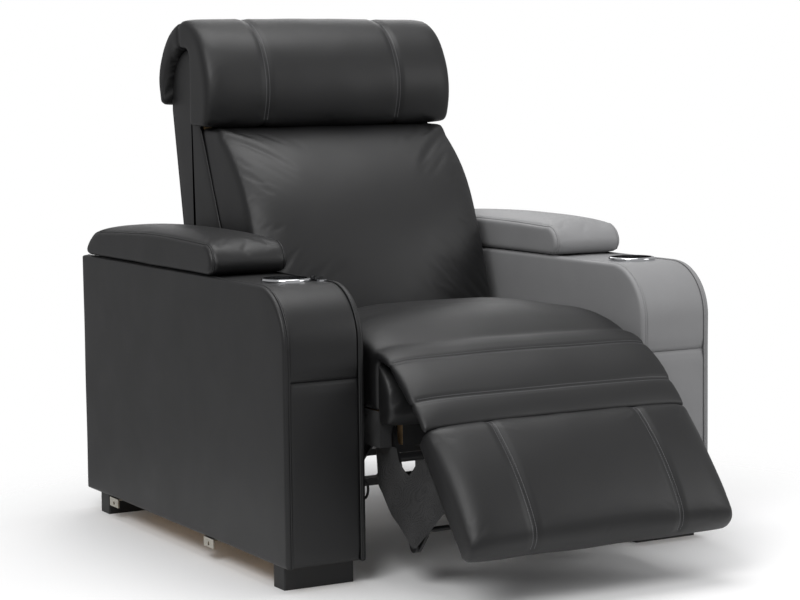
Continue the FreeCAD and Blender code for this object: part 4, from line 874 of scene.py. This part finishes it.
def seatHeld(mm):
    held = rampHeld(mm[:, 2] - seatCard["low"], 30) * (mm[:, 1] > 0)
    for point, normal in chaiseSeams.values():
        distance = np.abs((mm - np.array(point)) @ np.array(normal))
        held = np.maximum(held, rampHeld(distance, 7) * 0.9 * (mm[:, 1] < 0))
    flap = np.clip((70 - mm[:, 1]) / 90, 0, 1) * 0.94
    tip = np.clip((-146 - mm[:, 1]) / 10, 0, 1)
    return np.maximum.reduce([held, sidesHeld(mm, seatCard, 10, 0.6), flap, tip])


def flapFace(mm):
    # the flap's upper face, ahead of the seat block
    return (mm[:, 1] < -20) * np.clip((mm[:, 2] - 418 - mm[:, 1] * 0.62) / 12 + 1, 0, 1)


seat = joined("chaiseSeat", [
    loft("seatBlock", seatSection, seatCard["half"], seatCard["shoulder"], "black_leather", 9, 9),
    loft("flapBlock", flapSection, seatCard["half"], seatCard["shoulder"], "black_leather", 7, 5)])
stuff(seat, seatHeld, seatCard["cap"], 6)
ripple(seat, 1.6, 120, 2)
for seam in chaiseSeams.values():
    sink(seat, seam, 3.0, 12, flapFace)
for tag, (point, normal) in chaiseSeams.items():
    line = [(x, point[1], point[2]) for x in range(-280, 281, 5)]
    upward = (0, -normal[2], normal[1])
    seamRows("chaiseStitch" + tag, seat, line, [upward] * len(line), [normal] * len(line), chaiseBend)
settle(seat, chaiseBend, ["seat_cushion", "chaise_flap"])


# padded front of the seat box

def frontSection(f):
    out = 1 - 0.16 * (1 - f)
    return (1, 415), [((-38 * out, 386), (-54 * out, 346)), ((-50 * out, 314), (-22 * out, 301)), ((1, 301),)]


def boxWrap(name, card):
    # liner cloth pulled tight round the seat box's rails, slotted where the long links swing forward
    side, front, rear = card["side"], card["front"], card["rear"]
    outline = resampled([(-side, rear), (-side, front + 1), (-side + 1, front), (side - 1, front),
                         (side, front + 1), (side, rear)], 3)
    tall, bands, slotBands = card["high"] - card["low"], 8, 6
    levels = [card["low"] + tall * i / bands for i in range(bands + 1)]
    vertices = [at(x, y, z) for x, y in outline for z in levels]
    inSlot = [card["slot"][0] < abs(x) < card["slot"][1] for x, _ in outline]
    faces = []
    for i in range(len(outline) - 1):
        for j in range(slotBands if inSlot[i] or inSlot[i + 1] else 0, bands):
            low, high = i * len(levels) + j, (i + 1) * len(levels) + j
            faces.append((low, low + 1, high + 1, high))
    wrap = makeObject(name, vertices, faces, "black_cloth")
    area = sum(face.area for face in wrap.data.polygons)
    ripple(wrap, 0.35, 40, 8)
    flat = sum(math.dist(a, b) for a, b in zip(outline, outline[1:])) / 1000
    return wrap, (flat, tall / 1000), area


wrapCard = {"side": 285.2, "rear": 498, "front": 0.6, "low": 256.6, "high": 326, "slot": (237, 259)}
wrap, wrapFlat, wrapArea = boxWrap("seatBoxWrap", wrapCard)
settle(wrap, "base")


frontCard = {"half": 290, "shoulder": 30, "cap": 8}
frontPad = loft("seatFrontPad", frontSection, frontCard["half"], frontCard["shoulder"], "black_leather", 7, 6)
stuff(frontPad, lambda mm: np.clip((mm[:, 1] + 12) / 10, 0, 1), frontCard["cap"], 7)
settle(frontPad, "base", ["seat_front_pad"])
print("seat made")


# footrest pad: three panels across, two double-stitched channels

footCard = {"half": 291, "shoulder": 34, "tilt": math.radians(40), "crease": (-178, 318),
            "seams": (-161, 161), "cap": 14}


def swung(points):
    # drawn hanging straight down from the crease, then swung to the rest pose
    c, s = math.cos(footCard["tilt"]), math.sin(footCard["tilt"])
    creaseY, creaseZ = footCard["crease"]
    return [(creaseY + y * c + z * s, creaseZ - y * s + z * c) for y, z in points]


def footSection(f):
    out, draw = 36 * f, 5 * (1 - f)
    start = (45, -3 - draw)
    moves = [
        ((12 + draw, 2 - draw),),
        ((3 + draw - 0.42 * out, -1 - draw), (draw - 0.7 * out, -18)),
        ((draw - 2 - out, -131), (draw - 0.66 * out, -232)),
        ((5 + draw - 0.3 * out, -256 + draw), (26, -262 + draw)),
        ((42, -259 + draw), (47, -250 + draw)),
        ((45.5, -236),)]
    return swung([start])[0], [tuple(swung(move)) for move in moves]


def footDepth(mm):
    # how far a point stands out in front of the footrest's plane through the crease
    tiltOut = np.array((0, -math.cos(footCard["tilt"]), math.sin(footCard["tilt"])))
    return (mm - np.array((0, *footCard["crease"]))) @ tiltOut


def footHeld(mm):
    board = np.clip((-footDepth(mm) - 24) / 12, 0, 1)
    return np.maximum.reduce([board, channelsHeld(mm, footCard), sidesHeld(mm, footCard, 8, 0.6)])


foot = loft("footrestPad", footSection, footCard["half"], footCard["shoulder"], "black_leather", 8, 8)
stuff(foot, footHeld, footCard["cap"], 6)
ripple(foot, 1.4, 100, 9)
for index, x in enumerate(footCard["seams"]):
    channel(f"footStitch{index}", foot, footSection, footCard, x,
            lambda p: footDepth(np.array((0, *p))) > -16, "footrest",
            lambda mm: np.clip((footDepth(mm) + 22) / 12, 0, 1))
settle(foot, "footrest", ["footrest_pad", "footrest_board"])
print("footrest made")


# back: cushion, side and rear leather

backCard = {"half": 279, "shoulder": 40, "low": 352, "top": 845, "cap": 16, "seamLow": 593, "seamTop": 806,
            "shellTop": 1016, "rearLow": 850, "rearTop": 948, "bend": 880}


def backSection(f):
    out, draw, low, top = 34 * f, 7 * (1 - f), backCard["low"], backCard["top"]
    return (backCard["seamLow"], low), [
        ((backCard["seamTop"], top),), ((728, top),),
        ((706, 841 - 0.4 * draw), (690 + draw, 828 - draw)),
        ((618 + draw - 0.8 * out, 742), (566 + draw - out, 642)),
        ((514 + draw - out, 470), (486 + draw - 0.3 * out, 362)),
        ((494, 352), (508, 352))]


def seamDepth(mm):
    # how far in front of the leaning seam line a point lies
    slope = (backCard["seamTop"] - backCard["seamLow"]) / (backCard["top"] - backCard["low"])
    return backCard["seamLow"] + (mm[:, 2] - backCard["low"]) * slope - mm[:, 1]


def backHeld(mm):
    return np.maximum(rampHeld(seamDepth(mm) - 4, 14), sidesHeld(mm, backCard, 9, 0.7))


cushion = loft("backCushion", backSection, backCard["half"], backCard["shoulder"], "black_leather", 9, 9)
stuff(cushion, backHeld, backCard["cap"], 7)
ripple(cushion, 1.8, 140, 4)
settle(cushion, "backrest", ["back_cushion"])


def sideOutline():
    # from the seat up the cushion's seam, over the round top of the shell and down the rear
    low, rear, top = backCard["low"], backCard["rearTop"], backCard["shellTop"]
    frontTop, curve = 818, 100  # the shell's front edge above the cushion, the curve down to its rear
    points = [(backCard["seamLow"] - 3, low), (backCard["seamTop"] - 3, backCard["top"]), (frontTop, 892),
              (frontTop, top - 28)]
    points += arcPoints(points[-1], (frontTop + 8, top - 8), (frontTop + 28, top), 6)
    points += [(rear - curve, top)]
    points += arcPoints(points[-1], (rear - 29, top - 29), (rear, top - curve), 14)
    points += [(rear, backCard["bend"]), (backCard["rearLow"], low)]
    return resampled(points + points[:1], 9)[:-1]


def skin(name, outline, low, high, swell, materialName):
    # closed padded skin between two x planes, its edges rounded and its outer face a little full
    way = math.copysign(1, high - low)
    stations = ((low, 4), (low + 1.2 * way, 1.4), (low + 3.5 * way, 0.2), (high - 3.5 * way, 0),
                (high - 1.2 * way, 1.2), (high, 4), (high + swell * 0.35, 12), (high + swell * 0.8, 30))
    vertices = [at(x, y, z) for x, amount in stations for y, z in inset(outline, amount)]
    return makeObject(name, vertices, ringFaces(len(outline), len(stations)), materialName)


def backPiping(name, x, points):
    line = [at(x, y, z) for y, z in resampled(points, 5)]
    settle(tube(name, line, 2.1, "black_leather"), "backrest")


for tag, side in (("Right", -1), ("Left", 1)):
    panel = skin("backSide" + tag, sideOutline(), side * (backCard["half"] - 9),
                 side * (backCard["half"] + 0.5), side * 1.5, "black_leather")
    settle(panel, "backrest", ["back_side_panels"])
    backPiping("backPipingFront" + tag, side * (backCard["half"] + 0.5), [(588, 356), (801, 845)])
    backPiping("backPipingRear" + tag, side * (backCard["half"] - 1), [(849, 356), (947, 880), (947, 905)])


def rearPanel(name, card, half, thick):
    # board-backed leather from the seat up to the headrest's flap, its outer face a little full
    low, bend, hem = card["low"], card["bend"], 916
    outline = [(card["rearLow"], low), (card["rearTop"], bend), (card["rearTop"], hem),
               (card["rearTop"] - thick, hem), (card["rearTop"] - thick, bend + 1),
               (card["rearLow"] - thick, low)]
    vertices = []
    for x in [-half + half * i / 20 for i in range(41)]:
        swell = 3 * (1 - (x / half) ** 2)
        vertices += [at(x, y + (swell if k < 3 else 0), z) for k, (y, z) in enumerate(outline)]
    return makeObject(name, vertices, ringFaces(len(outline), 41), "black_leather", smooth=False)


settle(rearPanel("backRearSkin", backCard, 270, 13), "backrest", ["back_rear_panel"])
print("back made")


# headrest: pad in three panels, and the flap that runs back over the top of the shell

headCard = {"half": 302, "shoulder": 26, "top": 1081, "shelf": 1016.3, "seams": (-161, 161), "cap": 13}


def headSection(f):
    out, draw, top, shelf = 16 * f, 9 * (1 - f), headCard["top"], headCard["shelf"]
    return (812.3, 850), [
        ((752, 848),),
        ((730 + draw, 846 + draw), (722 + draw - 0.4 * out, 868)),
        ((718 + draw - out, 940), (737 + draw - out, 1004 - draw)),
        ((777 + draw - 0.6 * out, top - 24 - draw), (820, top - 3 - draw)),
        ((842, top - draw), (862, top - 4 - draw)),
        ((862, shelf),), ((848, shelf), (834, shelf - 1)), ((817, shelf - 10), (812.3, shelf - 30))]


def rearSection(f):
    draw, top, shelf = 8 * (1 - f), headCard["top"], headCard["shelf"]
    return (862.4, shelf), [
        ((862.4, top - 4 - draw),),
        ((926 - draw, top - 30 - draw), (968 - draw, top - 84)),
        ((983 - draw, 945), (976 - draw, 906 + draw)),
        ((966, 890 + draw), (948.3, 896 + draw)),
        ((948.3, 920),),
        ((921.3, shelf - 24), (870.3, shelf))]


def headHeld(mm):
    board = np.clip((mm[:, 1] - 796) / 8, 0, 1) * (mm[:, 2] < 1012)
    rear = np.clip((mm[:, 1] - 852) / 8, 0, 1)
    return np.maximum.reduce([board, rear, channelsHeld(mm, headCard), sidesHeld(mm, headCard, 8, 0.5)])


def rearHeld(mm):
    front = np.clip((875 - mm[:, 1]) / 8, 0, 1)
    hem = np.clip((912 - mm[:, 2]) / 10, 0, 1)
    return np.maximum.reduce([front, hem, channelsHeld(mm, headCard)])


for name, section, held, body, nodes, shows in (
        ("headPad", headSection, headHeld, "headrest", ["head_pad", "head_board"],
         lambda p: p[0] < 861 and p[1] > 856),
        ("headFlap", rearSection, rearHeld, "backrest", ["head_rear_flap"],
         lambda p: p[0] > 863 and p[1] > 900)):
    pad = loft(name, section, headCard["half"], headCard["shoulder"], "black_leather", 8, 8)
    stuff(pad, held, headCard["cap"], 6)
    ripple(pad, 1.5, 90, 6)
    for index, x in enumerate(headCard["seams"]):
        channel(f"{name}Stitch{index}", pad, section, headCard, x, shows, body)
    settle(pad, body, nodes)
print("headrest made")


# cloth hung over each side of the linkage

coverEdge = [(60, 257.7), (55, 176), (32, 149), (-40, 96), (-78, 76), (-92, 78), (-142, 120), (-206, 172),
             (-225, 190), (-172, 254), (-104, 246), (-70, 212), (-22, 232), (-16, 257.7)]


def coverSheet(name, x):
    # one layer of cloth in a plane beside the links, with slow folds across it
    outline = resampled(coverEdge + coverEdge[:1], 7)[:-1]
    work = bmesh.new()
    ring = [work.verts.new(at(x, y, z)) for y, z in outline]
    work.faces.new(ring)
    bmesh.ops.triangulate(work, faces=work.faces)
    longestEdge = 0.012
    for _ in range(5):
        long = [e for e in work.edges if e.calc_length() > longestEdge]
        if long:
            bmesh.ops.subdivide_edges(work, edges=long, cuts=1)
            bmesh.ops.triangulate(work, faces=work.faces)
    bmesh.ops.beautify_fill(work, faces=work.faces, edges=work.edges)
    for vertex in work.verts:
        _, y, z = millimetres(np.array(vertex.co))
        fold = math.sin((y * 0.8 + z * 0.6) / 17) * 1.6 + noise.noise(Vector((y / 60, z / 40, x))) * 2.2
        vertex.co.x += fold / 1000
    area = sum(face.calc_area() for face in work.faces)
    mesh = bpy.data.meshes.new(name)
    work.to_mesh(mesh)
    work.free()
    mesh.validate()
    mesh.polygons.foreach_set("use_smooth", [True] * len(mesh.polygons))
    mesh.materials.append(materials["black_cloth"])
    piece = bpy.data.objects.new(name, mesh)
    scene.collection.objects.link(piece)
    return piece, area


for tag, side in (("Right", -1), ("Left", 1)):
    cover, area = coverSheet("linkageCloth" + tag, side * 260)
    settle(cover, ("base", "footrest", at(0, 10, 230), at(0, -190, 190)),
           ["linkage_cover_" + tag.lower()])


# lead from the hand control down to the drive's motor

leadRoute = [(-314.9, 34, 192), (-293, 34, 192), (-281, 58, 152), (-275, 108, 140), (-255, 160, 155.2),
             (-205, 210, 153.2), (-145, 262, 150), (-103, 312, 176), (-83, 396, 226), (-46.2, 396, 226)]
leadCurve = bpy.data.curves.new("controlLead", "CURVE")
leadCurve.dimensions, leadCurve.bevel_depth, leadCurve.resolution_u = "3D", 0.0025, 16
spline = leadCurve.splines.new("NURBS")
spline.points.add(len(leadRoute) - 1)
for point, spot in zip(spline.points, leadRoute):
    point.co = (*at(*spot), 1)
spline.order_u, spline.use_endpoint_u = 3, True
lead = bpy.data.objects.new("controlLead", leadCurve)
scene.collection.objects.link(lead)
leadCurve.materials.append(materials["lead_rubber"])
settle(lead, "base", ["control_lead"])
print("covers and lead made")
